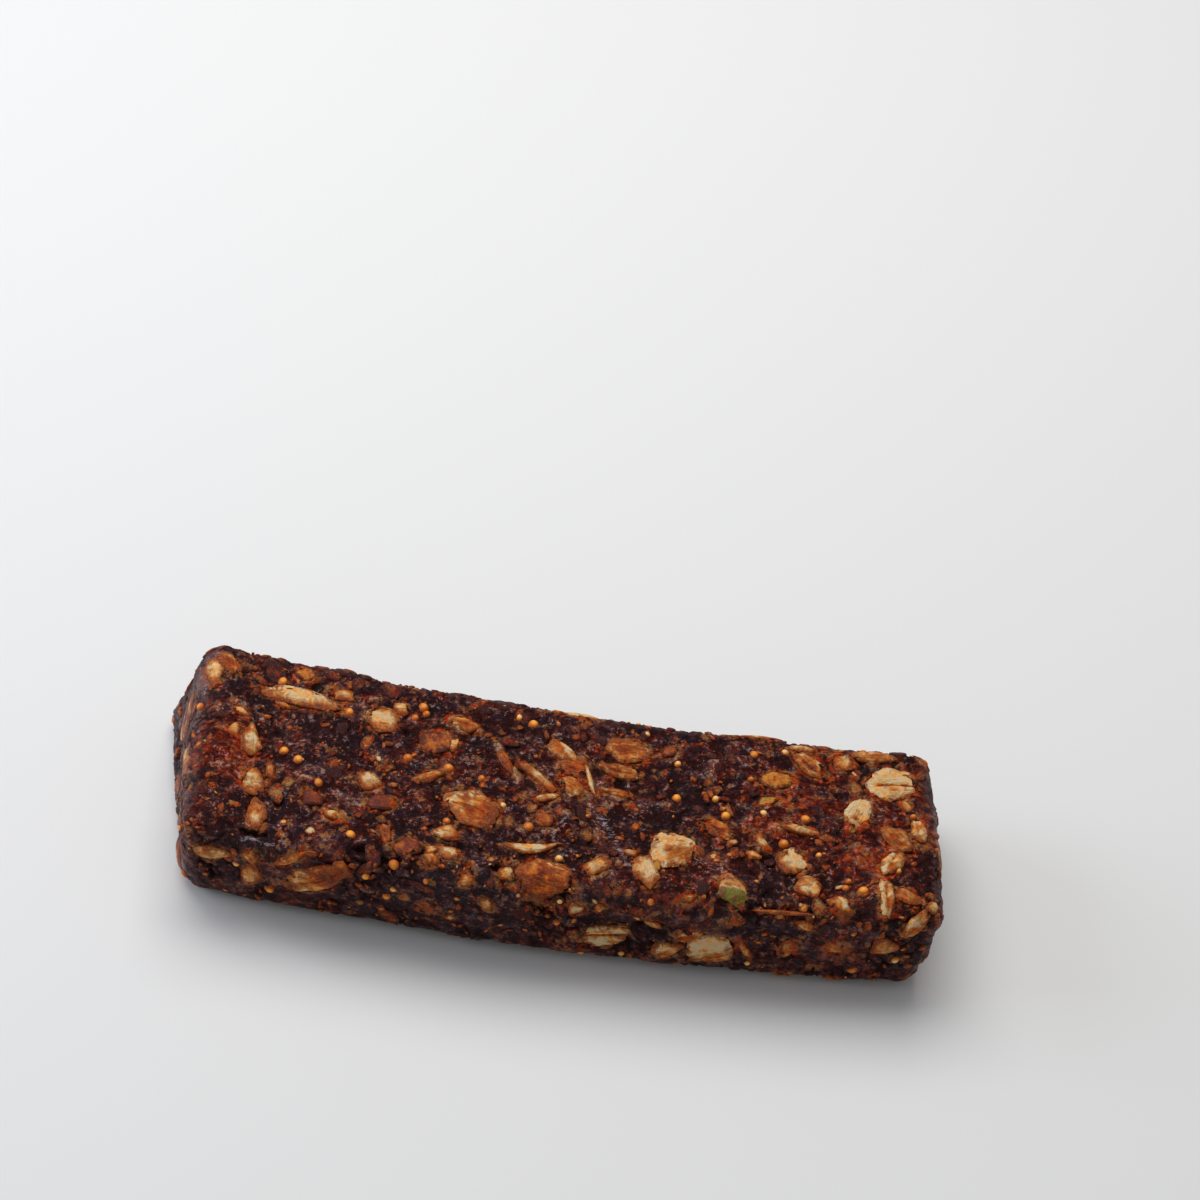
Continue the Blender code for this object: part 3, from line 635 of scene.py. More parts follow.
def press_sockets(points, rows_by_face):
    """How far pieces push the paste down or up, and how near each point is to one."""
    lower = np.zeros(len(points))
    near = np.zeros(len(points))
    patches = sum(share * soft_noise(points, size, seed) for size, share, seed in LAPS)
    groove = GROOVE_DEPTH * np.clip(-patches, 0, 1)
    bury = np.clip(1.8 * patches, 0, 1)
    for face, rows in rows_by_face.items():
        axis_along, axis_across, _, _ = FACES[face]
        for kind, along, across, turn, length, width, _ in rows:
            centre = spot(face, along, across)
            reach = length / 2 + 1.4
            picked = np.flatnonzero(np.max(np.abs(points - centre), axis=1) < reach)
            offset = points[picked] - centre
            angle = np.radians(turn)
            u = offset[:, axis_along] * np.cos(angle) + offset[:, axis_across] * np.sin(angle)
            v = offset[:, axis_across] * np.cos(angle) - offset[:, axis_along] * np.sin(angle)
            radial = np.hypot(u / (length / 2), v / (width / 2))
            gap = (radial - RIM_SHARE) * np.sqrt(length * width) / 2
            share = min(1.0, width / 2.0)
            covered = bury[picked]
            edge = groove[picked] * np.exp(-((gap / EDGE_REACH) ** 2))
            from_tongue = (gap + TONGUE_REACH) / TONGUE_REACH / 2
            edge -= TONGUE_HEIGHT * covered * np.exp(-(from_tongue ** 2))
            socket = SOCKET * np.clip((-gap - 2 * TONGUE_REACH * covered) / 0.5, 0, 1)
            change = share * (edge + socket)
            stronger = np.abs(change) > np.abs(lower[picked])
            lower[picked] = np.where(stronger, change, lower[picked])
            near[picked] = np.maximum(near[picked], np.clip(1 - gap / HALO_REACH, 0, 1))
    return lower, near


def press_pits(points):
    """Holes and cracks between the pieces."""
    pits = [("top",) + pit for pit in TOP_PITS] + [("front",) + pit for pit in FRONT_PITS]
    for face, start, end, radius, depth in CRACKS:
        for share in np.linspace(0, 1, 12):
            place = np.array(start) * (1 - share) + np.array(end) * share
            place += 0.25 * np.sin(9 * share + place[0])
            pits.append((face, place[0], place[1], radius, depth))
    wobble = 1 + 0.35 * soft_noise(points, 0.9, 51)
    lower = np.zeros(len(points))
    for face, along, across, radius, depth in pits:
        distance = np.linalg.norm(points - spot(face, along, across), axis=1)
        lower = np.maximum(lower, depth * np.exp(-((distance / (radius * wobble)) ** 4)))
    return lower


def patch_tone(points):
    """How red and syrupy, or dark and dry, the paste is at each point, with the painted shade and
    reflection of the front and the left end.
    """
    tone = np.zeros(len(points))
    for face, patches in PATCHES.items():
        for along, across, radius, amount in patches:
            distance = np.linalg.norm(points - spot(face, along, across), axis=1)
            tone += amount * np.exp(-((distance / radius) ** 2))
    return tone


def fibre_and_edge_sheen_tone(points):
    """How much each point lies on a pale fibre, or on the painted sheen along the top's left edge."""
    pale = np.zeros(len(points))
    for face, start, end, width in FIBRES_AND_EDGE_SHEEN:
        for share in np.linspace(0, 1, 24):
            along, across = np.array(start) * (1 - share) + np.array(end) * share
            centre = spot(face, along, across + 0.3 * np.sin(7 * share))
            distance = np.linalg.norm(points - centre, axis=1)
            pale = np.maximum(pale, np.exp(-((distance / width) ** 2)))
    return pale


def paste_grain(points):
    """The fine relief of the paste, and how much each point lies in a crack."""
    grain = np.zeros(len(points))
    for size, amount, seed in GRAIN:
        grain += amount * soft_noise(points, size, seed)
    size, amount, seed = STRANDS
    strands = soft_noise(points @ np.diag([0.45, 1.5, 1.0]), size, seed)
    grain += amount * strands * np.clip(soft_noise(points, *COMBS) + 0.3, 0, 1)
    size, reach, seeds = WARP
    warp = reach * np.stack([soft_noise(points, size, seed) for seed in seeds], axis=1)
    broken = np.clip(0.55 + 1.1 * soft_noise(points, *BREAKS), 0.12, 1)
    cracks = np.zeros(len(points))
    for size, depth, seed in CHUNKS:
        edge = chunk_edges(points + warp, size, seed)
        crack = np.exp(-((edge / CRACK) ** 2)) * broken
        grain -= depth * crack
        cracks = np.maximum(cracks, crack * depth / CHUNKS[0][1])
    return grain, cracks


def make_paste(rows_by_face):
    """The paste between and under the pieces."""
    points, faces = box_grid()
    points, outwards = nearest_on_box(points)
    grain, cracks = paste_grain(points)
    sockets, near = press_sockets(points, rows_by_face)
    pits = press_pits(points)
    under = outwards[:, 2] < -0.9
    grain = np.where(under, -UNDER_SINK - 0.5 * np.abs(grain), grain)
    calm = np.clip((points[:, 2] + HALF[2]) / 1.0, 0.25, 1)
    lift = lump_height(points) + grain * np.where(under, 1, calm) - sockets - pits
    # How much painted shade each point gets: pits, cracks and the low places of the grain.
    hollow = np.clip(pits / 0.7 + cracks * 0.9 + np.clip(-grain / 0.45, 0, 1) * 0.4, 0, 1)
    shaped = bend(points + outwards * lift[:, None])
    # Painted sheen: the ends in full, and the front faintly, are greyed towards violet as if they
    # reflected the room.
    ends = np.clip((np.abs(outwards[:, 0]) - 0.3) / 0.5, 0, 1)
    front = np.clip((-outwards[:, 1] - 0.3) / 0.5, 0, 1)
    marks = {
        "hollow": hollow,
        "near": near,
        "ruddy": patch_tone(points),
        "fibre": fibre_and_edge_sheen_tone(points),
        "dusty": np.maximum(ends, FRONT_PAINTED_SHEEN * front),
    }
    return make_mesh("fruit_paste", shaped * MM, faces, marks)


def ring_faces(sides, rings):
    """Faces of a closed piece: a middle point, rings, and a point below."""
    faces = []
    last = 1 + rings * sides
    for n in range(sides):
        after = (n + 1) % sides
        faces.append((0, 1 + n, 1 + after))
        for ring in range(rings - 1):
            start = 1 + ring * sides
            faces.append((start + n, start + sides + n, start + sides + after, start + after))
        faces.append((last - sides + n, last, last - sides + after))
    return faces


def outline_radius(kind, angle, rng):
    """How far the outline lies from the middle in each direction: rounded straight cuts."""
    cuts, uneven, sharpness, ragged = CUTS[kind]
    start = rng.uniform(0, 2 * np.pi)
    total = np.zeros(len(angle))
    for n in range(cuts):
        turn = start + 2 * np.pi * (n + uneven * rng.uniform(-1, 1)) / cuts
        reach = rng.uniform(0.80, 1.05)
        total += np.clip(np.cos(angle - turn) / reach, 0, None) ** sharpness
    radius = total ** (-1 / sharpness)
    for waves in RAGGED_WAVES:
        radius += ragged * rng.uniform(0.4, 1) * np.sin(waves * angle + rng.uniform(0, 2 * np.pi))
    return np.minimum(radius, 1.25)


def facet_height(u, v, rng):
    """A chopped nut's top: the lowest of several sloping cuts."""
    height = np.full(len(u), 1.0)
    turn = rng.uniform(0, 6.28)
    for n in range(4):
        angle = turn + n * 1.57 + rng.uniform(-0.4, 0.4)
        slope = rng.uniform(0.25, 0.9)
        start = rng.uniform(0.95, 1.25)
        height = np.minimum(height, start - slope * (u * np.cos(angle) + v * np.sin(angle)) * 0.8)
    return height


def piece_shape(kind, length, width, rng, special):
    """A closed piece in its own frame: points, faces, and marks for its finish."""
    sides, rings = SIDES[kind], RINGS[kind]
    angle = 2 * np.pi * np.arange(sides) / sides
    edge = outline_radius(kind, angle, rng)
    shares = np.sin(np.linspace(0, np.pi / 2, rings + 1))[1:]
    share = np.repeat(shares, sides)
    u = np.tile(np.cos(angle) * edge, rings) * share
    v = np.tile(np.sin(angle) * edge, rings) * share
    u = np.concatenate([[0.0], u])
    v = np.concatenate([[0.0], v])
    share = np.concatenate([[0.0], share])
    seed = rng.uniform(0, 100)
    local = np.stack([u * length / 2, v * width / 2, np.full(len(u), seed)], axis=1)
    stand = STAND[kind] * (0.85 + 0.3 * rng.uniform())
    line = np.zeros(len(u))
    depth = np.zeros(len(u))
    if kind == "oat":
        profile = 1 - 0.2 * share ** 2 - 0.72 * share ** 9
        crease = special.get("crease", rng.uniform(0.0, 0.15) if length > 4 else 0.0)
        middle = rng.uniform(-0.15, 0.15) + 0.12 * np.sin(2.5 * u + seed)
        line = (v - middle) * width / 2
        depth = crease * np.clip(1.15 - u ** 2, 0, 1)
        height = stand * profile - depth * np.exp(-((line / CREASE_WIDTH) ** 2))
        height += 0.07 * soft_noise(local * (0.8, 1.6, 1), 1.0, 61)
        height += 0.10 * u * v * rng.uniform(-1, 1) + 0.12 * rng.uniform(-0.4, 1) * (u ** 2 - 0.4)
    elif kind == "nut":
        height = stand * facet_height(u, v, rng) * (1 - 0.85 * share ** 5)
        height += 0.05 * soft_noise(local, 0.8, 62)
    elif kind == "sliver":
        height = stand * np.sqrt(np.clip(1 - share ** 2, 0, 1)) * (1 - 0.3 * np.abs(v))
        height += 0.04 * soft_noise(local * (0.5, 1.6, 1), 0.8, 63)
    elif kind == "pumpkin":
        height = stand * facet_height(u, v, rng) * (1 - 0.85 * share ** 6)
    elif kind in ("fruit", "chip"):
        height = stand * (1 - 0.9 * share ** 6) + 0.14 * soft_noise(local, 1.1, 64)
    else:
        height = min(stand, width * 0.45) * (1 - 0.75 * share ** 2)
    tilt = rng.uniform(-0.05, 0.05, 2)
    height = height + tilt[0] * u * length / 2 + tilt[1] * v * width / 2
    sag = special.get("sag", 0.0)
    across = v * width / 2 + sag * (1 - 2 * u ** 2) * 0.5
    points = np.stack([u * length / 2, across, height], axis=1)
    foot = points[-sides:] * (0.92, 0.92, 0) + (0, sag * 0.02, -min(SUNK, width * 0.6))
    tip = np.array([[0.0, 0.0, -min(SUNK, width * 0.6)]])
    points = np.concatenate([points, foot, tip])
    # The browner side is partly a real stain and partly painted shade.
    turned = np.radians(special.get("stain", rng.uniform(-120, 0)))
    strength = BOLD_STAIN_AND_SHADE if "stain" in special else FAINT_STAIN_AND_SHADE
    stain = (u * np.cos(turned) + v * np.sin(turned)) * strength
    pad = sides + 1
    marks = {
        "local": np.concatenate([local, np.tile(local[:1], (pad, 1))]),
        "rim": np.concatenate([share, np.ones(pad)]),
        "stain": np.concatenate([stain, np.zeros(pad)]),
        "line": np.concatenate([line, np.zeros(pad)]),
        "crease": np.concatenate([depth, np.zeros(pad)]),
    }
    return points, ring_faces(sides, rings + 1), marks


def seed_shape(size, rng):
    """A fig seed: a small ball, a little longer than wide."""
    sides, bands = 16, 9
    points = [(0.0, 0.0, size / 2)]
    for band in range(1, bands):
        angle = np.pi * band / bands
        for n in range(sides):
            turn = 2 * np.pi * n / sides
            points.append((size / 2 * np.sin(angle) * np.cos(turn) * SEED_STRETCH,
                           size / 2 * np.sin(angle) * np.sin(turn),
                           size / 2 * np.cos(angle)))
    points.append((0.0, 0.0, -size / 2))
    points = np.array(points)
    local = points * (1, 1, 0) + (0, 0, rng.uniform(0, 100))
    share = np.hypot(points[:, 0], points[:, 1]) / (size / 2)
    marks = {"local": local, "rim": share}
    return points - (0, 0, SEED_SUNK * size), ring_faces(sides, bands - 1), marks


def lay(shape, face, along, across, turn, tone):
    """Lays a piece on a face of the bar and bends it with the bar."""
    points, faces, marks = shape
    angle = np.radians(turn)
    place_along = along + points[:, 0] * np.cos(angle) - points[:, 1] * np.sin(angle)
    place_across = across + points[:, 0] * np.sin(angle) + points[:, 1] * np.cos(angle)
    base, outwards = on_face(face, place_along, place_across)
    raised = base + outwards * (lump_height(base) + points[:, 2])[:, None]
    if face in MIRRORED:
        faces = [tuple(reversed(f)) for f in faces]
    # Pieces on the ends get the painted sheen in full.
    dusty = 1.0 if face in ENDS else 0.0
    marks = dict(marks, tone=np.full(len(points), tone), dusty=np.full(len(points), dusty))
    return bend(raised), faces, marks


def join(name, laid):
    """One object from many laid pieces."""
    start = 0
    faces = []
    for points, piece_faces, _ in laid:
        faces += [tuple(start + corner for corner in face) for face in piece_faces]
        start += len(points)
    points = np.concatenate([piece[0] for piece in laid])
    marks = {}
    for mark in laid[0][2]:
        marks[mark] = np.concatenate([piece[2][mark] for piece in laid])
    return make_mesh(name, points * MM, faces, marks)


class Value:
    """An output of a shader node that can be used in plain sums."""

    def __init__(self, finish, socket):
        self.finish = finish
        self.socket = socket

    def math(self, operation, *others):
        """One node of the sum."""
        return self.finish.node("ShaderNodeMath", {"operation": operation}, [self, *others])

    def __add__(self, other):
        return self.math("ADD", other)

    __radd__ = __add__

    def __sub__(self, other):
        return self.math("SUBTRACT", other)

    def __rsub__(self, other):
        return self.finish.node("ShaderNodeMath", {"operation": "SUBTRACT"}, [other, self])

    def __mul__(self, other):
        return self.math("MULTIPLY", other)

    __rmul__ = __mul__

    def step(self, low, high):
        """Rises smoothly from 0 at low to 1 at high."""
        settings = {"interpolation_type": "SMOOTHSTEP"}
        return self.finish.node("ShaderNodeMapRange", settings, [self, low, high, 0.0, 1.0])


class Finish:
    """A material made in code around one Principled shader."""

    def __init__(self, name):
        self.material = bpy.data.materials.new(name)
        self.material.use_nodes = True
        self.tree = self.material.node_tree
        self.shader = self.tree.nodes["Principled BSDF"]

    def put(self, socket, value):
        """Links a value to a socket, or sets the socket to a number or colour."""
        if isinstance(value, Value):
            self.tree.links.new(value.socket, socket)
        elif isinstance(value, tuple) and socket.type == "RGBA":
            socket.default_value = (*value, 1.0)
        else:
            socket.default_value = value

    def node(self, kind, settings=None, values=(), output=0):
        """Adds a node: settings first, then its sockets by place or by name."""
        made = self.tree.nodes.new(kind)
        for name, setting in (settings or {}).items():
            if name == "stops":
                ramp = made.color_ramp
                while len(ramp.elements) < len(setting):
                    ramp.elements.new(0.5)
                for element, (place, colour) in zip(ramp.elements, setting):
                    element.position = place
                    element.color = (*colour, 1.0)
            else:
                setattr(made, name, setting)
        pairs = values.items() if isinstance(values, dict) else enumerate(values)
        for name, value in pairs:
            self.put(made.inputs[name], value)
        return Value(self, made.outputs[output])

    def mark(self, name, output="Fac"):
        """A named value that the mesh carries on each point."""
        settings = {"attribute_name": name, "attribute_type": "GEOMETRY"}
        return self.node("ShaderNodeAttribute", settings, output=output)

    def mix(self, share, first, second, how="MIX"):
        """Two colours mixed by a share."""
        settings = {"data_type": "RGBA", "blend_type": how, "clamp_factor": True}
        return self.node("ShaderNodeMix", settings, {0: share, 6: first, 7: second}, output=2)

    def noise(self, where, scale, detail=3.0, rough=0.55, twist=0.0):
        """Cloudy noise, about 0.5 on average."""
        values = {"Vector": where, "Scale": scale, "Detail": detail}
        values.update({"Roughness": rough, "Distortion": twist})
        return self.node("ShaderNodeTexNoise", {"noise_dimensions": "3D"}, values)

    def stretch(self, where, amounts):
        """Places scaled by a different amount along each axis."""
        return self.node("ShaderNodeVectorMath", {"operation": "MULTIPLY"}, [where, amounts])

    def bent(self, where, scale, reach):
        """Places shifted about by noise, so that what is drawn there is uneven."""
        values = {"Vector": where, "Scale": scale, "Detail": 2.0}
        shift = self.node("ShaderNodeTexNoise", {"noise_dimensions": "3D"}, values, output="Color")
        shift = self.node("ShaderNodeVectorMath", {"operation": "SUBTRACT"}, [shift, (0.5, 0.5, 0.5)])
        reach = (reach, reach, reach)
        shift = self.node("ShaderNodeVectorMath", {"operation": "MULTIPLY"}, [shift, reach])
        return self.node("ShaderNodeVectorMath", {"operation": "ADD"}, [where, shift])

    def chunk_tone(self, where, scale):
        """One random tone for each pressed chunk."""
        values = {"Vector": where, "Scale": scale}
        cell = self.node("ShaderNodeTexVoronoi", {"feature": "F1"}, values, output="Color")
        return self.node("ShaderNodeSeparateColor", values=[cell], output="Red")

    def tint(self, colour, share, syrup, dry):
        """Shifts a colour towards orange where share is low and towards grey where it is high."""
        shift = self.ramp(share, [(0.34, syrup), (0.50, PLAIN), (0.66, dry)])
        return self.mix(1.0, colour, shift, "MULTIPLY")

    def ramp(self, share, stops):
        """Colours that run from stop to stop."""
        return self.node("ShaderNodeValToRGB", {"stops": stops}, [share])

    def bump(self, height, strength, distance):
        """Makes the surface look as uneven as a height says."""
        values = {"Strength": strength, "Distance": distance, "Height": height}
        self.put(self.shader.inputs["Normal"], self.node("ShaderNodeBump", values=values))

    def set(self, **values):
        """Sets inputs of the shader, with _ for a space in their names."""
        for name, value in values.items():
            self.put(self.shader.inputs[name.replace("_", " ")], value)


# Colours as linear light.
PLUM = (0.0190, 0.0044, 0.0052)
DATE_BROWN = (0.061, 0.0145, 0.0120)
RED_BROWN = (0.165, 0.037, 0.0185)
RUST = (0.370, 0.098, 0.024)
GLOW = (0.480, 0.135, 0.020)
# Grey-violet of the pale fibres and of the painted glints.
GLINT_AND_FIBRE_GREY = (0.380, 0.310, 0.345)
# Grey-violet of the painted sheen.
PAINTED_SHEEN_GREY = (0.150, 0.100, 0.108)
CREAM = (0.77, 0.505, 0.235)
BISCUIT = (0.55, 0.300, 0.118)
TAN = (0.50, 0.200, 0.045)
TOAST = (0.42, 0.105, 0.011)
BARK = (0.240, 0.046, 0.008)
AMBER = (0.60, 0.22, 0.022)
OLIVE = (0.23, 0.17, 0.025)
CHERRY = (0.210, 0.034, 0.010)
SEED_CREAM = (0.80, 0.55, 0.28)
SEED_AMBER = (0.98, 0.40, 0.04)
SEED_RUST_AND_EDGE_SHADE = (0.50, 0.11, 0.010)
LEAF_GREEN = (0.16, 0.14, 0.018)
PALE_GREEN = (0.23, 0.18, 0.035)
# From an untoasted flake to one that is soaked through.
TOASTING = [(0.0, CREAM), (0.16, BISCUIT), (0.30, TAN), (0.47, TOAST), (0.72, BARK), (1.0, DATE_BROWN)]
# Tints that a surface is multiplied by: syrupy and dry paste, toasted and pale flakes.
# The dry tint also carries the painted shade and reflection of the front and the left end.
SYRUP = (1.20, 0.42, 0.14)
PLAIN = (1.0, 1.0, 1.0)
DRY_AND_PAINTED_SHADE = (0.84, 1.28, 2.10)
TOASTED = (1.10, 0.70, 0.32)
PALE = (0.94, 1.04, 1.30)


def paste_finish():
    """Dark sticky fruit paste: chunks of plum to red-brown, fine strands, pale fibres, with painted
    glints, painted shade in the hollows and painted sheen on the ends and the front.
    """
    paste = Finish("fruit_paste")
    where = paste.node("ShaderNodeTexCoord", output="Object")
    broad = paste.noise(where, 150.0, 3.0, 0.6)
    middle = paste.noise(where, 620.0, 4.0, 0.65, 0.8)
    fine = paste.noise(where, 2100.0, 3.0, 0.68, 0.5)
    strands = paste.noise(paste.stretch(where, (0.35, 1.6, 1.2)), 1800.0, 3.0, 0.7, 1.2)
    chunk = paste.chunk_tone(paste.bent(where, 900.0, 0.0016), 560.0)
    bit = paste.chunk_tone(paste.bent(where, 1500.0, 0.0010), 1250.0)
    hollow = paste.mark("hollow")
    near = paste.mark("near")
    ruddy = paste.mark("ruddy")
    shade = chunk * 0.28 + bit * 0.22 + (middle - 0.5) * 1.3
    shade = shade + (broad - 0.5) * 0.8 + (fine - 0.5) * 1.1
    # On the front and the left end this mark is painted shade and reflection: darker, bluer and greyer.
    shade = shade + ruddy * 0.10 - 0.05
    colour = paste.ramp(shade, [(0.02, PLUM), (0.20, DATE_BROWN), (0.40, RED_BROWN), (0.64, RUST)])
    halo = near.step(0.15, 0.9) * (middle * 0.6 + fine * 0.4).step(0.41, 0.56)
    colour = paste.mix(halo * 0.85, colour, GLOW)
    flake = (bit * 0.7 + chunk * 0.3 + (fine - 0.5) * 0.8).step(0.80, 0.92)
    colour = paste.mix(flake * 0.75, colour, TOAST)
    hue = paste.noise(where, 640.0, 4.0, 0.7, 1.0) - 0.5
    hue = hue * 2.3 + (bit - 0.5) * 0.14 + (chunk - 0.5) * 0.16 - ruddy * 0.07
    colour = paste.tint(colour, hue + 0.5, SYRUP, DRY_AND_PAINTED_SHADE)
    # The fibre mark also carries the painted sheen along the top's left edge.
    fibre = paste.mark("fibre")
    # Painted glints: grey-violet specks from the noise, more where the paste is painted darker, together
    # with the pale fibres.
    skin = (strands * 0.6 + fine * 0.4 - ruddy * 0.030 + fibre * 0.14).step(0.61, 0.69)
    colour = paste.mix(skin * (0.5 + 0.3 * fibre), colour, GLINT_AND_FIBRE_GREY)
    # Painted sheen: a grey-violet reflection painted over the ends and, faintly, the front.
    painted_sheen_share = paste.mark("dusty") * (middle * 0.5 + strands * 0.5).step(0.36, 0.60)
    colour = paste.mix(painted_sheen_share * 0.7, colour, PAINTED_SHEEN_GREY)
    # Painted shade: pits, cracks and low grain are darkened towards plum.
    colour = paste.mix(hollow.step(0.12, 0.85) * 0.9, colour, PLUM)
    paste.bump(middle * 0.30 + strands * 0.40 + fine * 0.30, 1.0, 0.0010)
    paste.set(Base_Color=colour, Roughness=0.42 + 0.25 * fine.step(0.35, 0.65))
    glint = (fine * 0.5 + middle * 0.5).step(0.54, 0.62)
    paste.set(Coat_Weight=glint * 0.65, Coat_Roughness=0.13)
    paste.set(Specular_IOR_Level=0.09)
    paste.set(Subsurface_Weight=0.04, Subsurface_Radius=(0.0012, 0.0004, 0.0002))
    return paste.material


def flake_finish(name, sheen, edge=0.30, heart=0.0):
    """Oats, nuts and slivers: cream to brown by tone, browner to one side by stain and painted shade, with
    paste on them.

    edge and heart say how much browner the rim and the middle are.
    """
    flake = Finish(name)
    local = flake.mark("local", "Vector")
    tone = flake.mark("tone")
    rim = flake.mark("rim")
    stain = flake.mark("stain")
    dusty = flake.mark("dusty")
    crease = (1.0 - flake.mark("line").math("ABSOLUTE") * 2.4).step(0.0, 1.0) * flake.mark("crease")
    cloud = flake.noise(local, 0.42, 2.0, 0.5, 0.6)
    patch = flake.noise(local, 0.90, 3.0, 0.55, 1.0)
    fine = flake.noise(local, 4.5, 3.0, 0.75)
    grain = flake.noise(flake.stretch(local, (0.5, 3.2, 1.0)), 1.2, 3.0, 0.6, 0.3)
    # The stain mark makes one side browner: partly real stain, partly painted shade.
    brown = tone * 0.8 + stain * 0.35 + (cloud - 0.5) * 1.7 + (patch - 0.5) * 1.7 + (grain - 0.5) * 0.6
    brown = brown + rim.step(0.40, 1.0) * (edge + 0.8 * patch) + crease * 3.0 + (fine - 0.5) * 0.3 - 0.04
    brown = brown + (1.0 - rim.step(0.1, 0.75)) * (cloud * 0.5 + grain * 0.5).step(0.35, 0.60) * heart
    colour = flake.ramp(brown * 0.7, TOASTING)
    hue = flake.noise(local, 0.80, 2.0, 0.6, 0.8)
    warmth = (hue - 0.5) * 1.2 + 0.51 - tone.step(0.1, 1.2) * 0.21
    colour = flake.tint(colour, warmth, TOASTED, PALE)
    streak = (grain * 0.6 + cloud * 0.4).step(0.49, 0.60) * tone.step(0.4, 1.0)
    colour = flake.mix(streak * 0.7, colour, DATE_BROWN)
    film = cloud * 0.25 + patch * 0.5 + fine * 0.25 + rim.step(0.55, 1.0) * 0.16 + (tone - 0.3) * 0.09
    syrup = flake.mix(fine.step(0.45, 0.55), RED_BROWN, RUST)
    colour = flake.mix(film.step(0.55, 0.66) * 0.8, colour, syrup)
    # Painted sheen on the pieces of the ends.
    colour = flake.mix(dusty * patch.step(0.30, 0.65) * 0.6, colour, PAINTED_SHEEN_GREY)
    flake.bump(grain * 0.45 + patch * 0.35 + fine * 0.20, 1.0, 0.0008)
    flake.set(Base_Color=colour, Roughness=0.40 + 0.3 * patch, Specular_IOR_Level=0.11)
    flake.set(Coat_Weight=sheen * fine.step(0.50, 0.60), Coat_Roughness=0.2)
    flake.set(Subsurface_Weight=0.12, Subsurface_Radius=(0.0015, 0.0008, 0.0004))
    return flake.material


def chip_finish():
    """Flat chips of fruit skin and bran, toasted to dark red, half lost in the paste."""
    chip = Finish("skin_chip")
    local = chip.mark("local", "Vector")
    tone = chip.mark("tone")
    rim = chip.mark("rim")
    cloud = chip.noise(local, 0.7, 3.0, 0.6, 0.6)
    patch = chip.noise(local, 1.9, 4.0, 0.7, 0.8)
    fine = chip.noise(local, 5.0, 3.0, 0.75)
    shade = tone + (cloud - 0.5) * 1.2 + (patch - 0.5) * 1.4
    colour = chip.ramp(shade, [(0.2, TAN), (0.5, TOAST), (0.8, CHERRY), (1.2, DATE_BROWN)])
    hue = chip.noise(local, 1.1, 3.0, 0.65, 0.8)
    colour = chip.tint(colour, (hue - 0.5) * 2.0 + 0.5, SYRUP, DRY_AND_PAINTED_SHADE)
    film = patch * 0.5 + fine * 0.5 + rim.step(0.3, 1.0) * 0.16
    colour = chip.mix(film.step(0.50, 0.68) * 0.85, colour, DATE_BROWN)
    chip.bump(patch * 0.6 + fine * 0.4, 1.0, 0.0009)
    chip.set(Base_Color=colour, Roughness=0.40 + 0.3 * patch, Specular_IOR_Level=0.2)
    chip.set(Subsurface_Weight=0.1, Subsurface_Radius=(0.0015, 0.0006, 0.0003))
    return chip.material


def seed_finish():
    """Fig seeds: smooth, amber to pale, with a painted highlight in the middle and painted shade at the
    edges.
    """
    seed = Finish("fig_seed")
    local = seed.mark("local", "Vector")
    tone = seed.mark("tone")
    rim = seed.mark("rim")
    mottle = seed.noise(local, 1.8, 2.0)
    # Painted light: the rim of each seed is darkened towards rust and its middle left pale.
    shade = tone + (mottle - 0.5) * 0.5 + rim.step(0.35, 0.95) * 0.55
    colour = seed.ramp(shade, [(0.08, SEED_CREAM), (0.30, SEED_AMBER), (0.90, SEED_RUST_AND_EDGE_SHADE)])
    seed.set(Base_Color=colour, Roughness=0.35, Specular_IOR_Level=0.25)
    seed.set(Subsurface_Weight=0.2, Subsurface_Radius=(0.0010, 0.0005, 0.0002))
    return seed.material


def fruit_finish():
    """Dried fruit: amber to dark cherry, glassy and a little see-through."""
    fruit = Finish("dried_fruit")
    local = fruit.mark("local", "Vector")
    tone = fruit.mark("tone")
    rim = fruit.mark("rim")
    cloud = fruit.noise(local, 0.7, 3.0, 0.6, 0.6)
    fine = fruit.noise(local, 2.6, 4.0, 0.7, 0.5)
    grain = fruit.noise(fruit.stretch(local, (0.6, 2.2, 1.0)), 1.8, 3.0)
    shade = tone + (cloud - 0.5) * 1.2 + (fine - 0.5) * 1.1 + rim.step(0.65, 1.0) * 0.18
    colour = fruit.ramp(shade, [(0.02, OLIVE), (0.22, AMBER), (0.50, TOAST), (0.85, CHERRY)])
    film = fine * 0.5 + cloud * 0.5 + rim.step(0.5, 1.0) * 0.18
    colour = fruit.mix(film.step(0.52, 0.66) * 0.8, colour, DATE_BROWN)
    fruit.bump(grain * 0.4 + cloud * 0.3 + fine * 0.3, 0.8, 0.0005)
    fruit.set(Base_Color=colour, Roughness=0.32 + 0.25 * grain, Specular_IOR_Level=0.14)
    fruit.set(Subsurface_Weight=0.06, Subsurface_Radius=(0.0020, 0.0008, 0.0003))
    return fruit.material


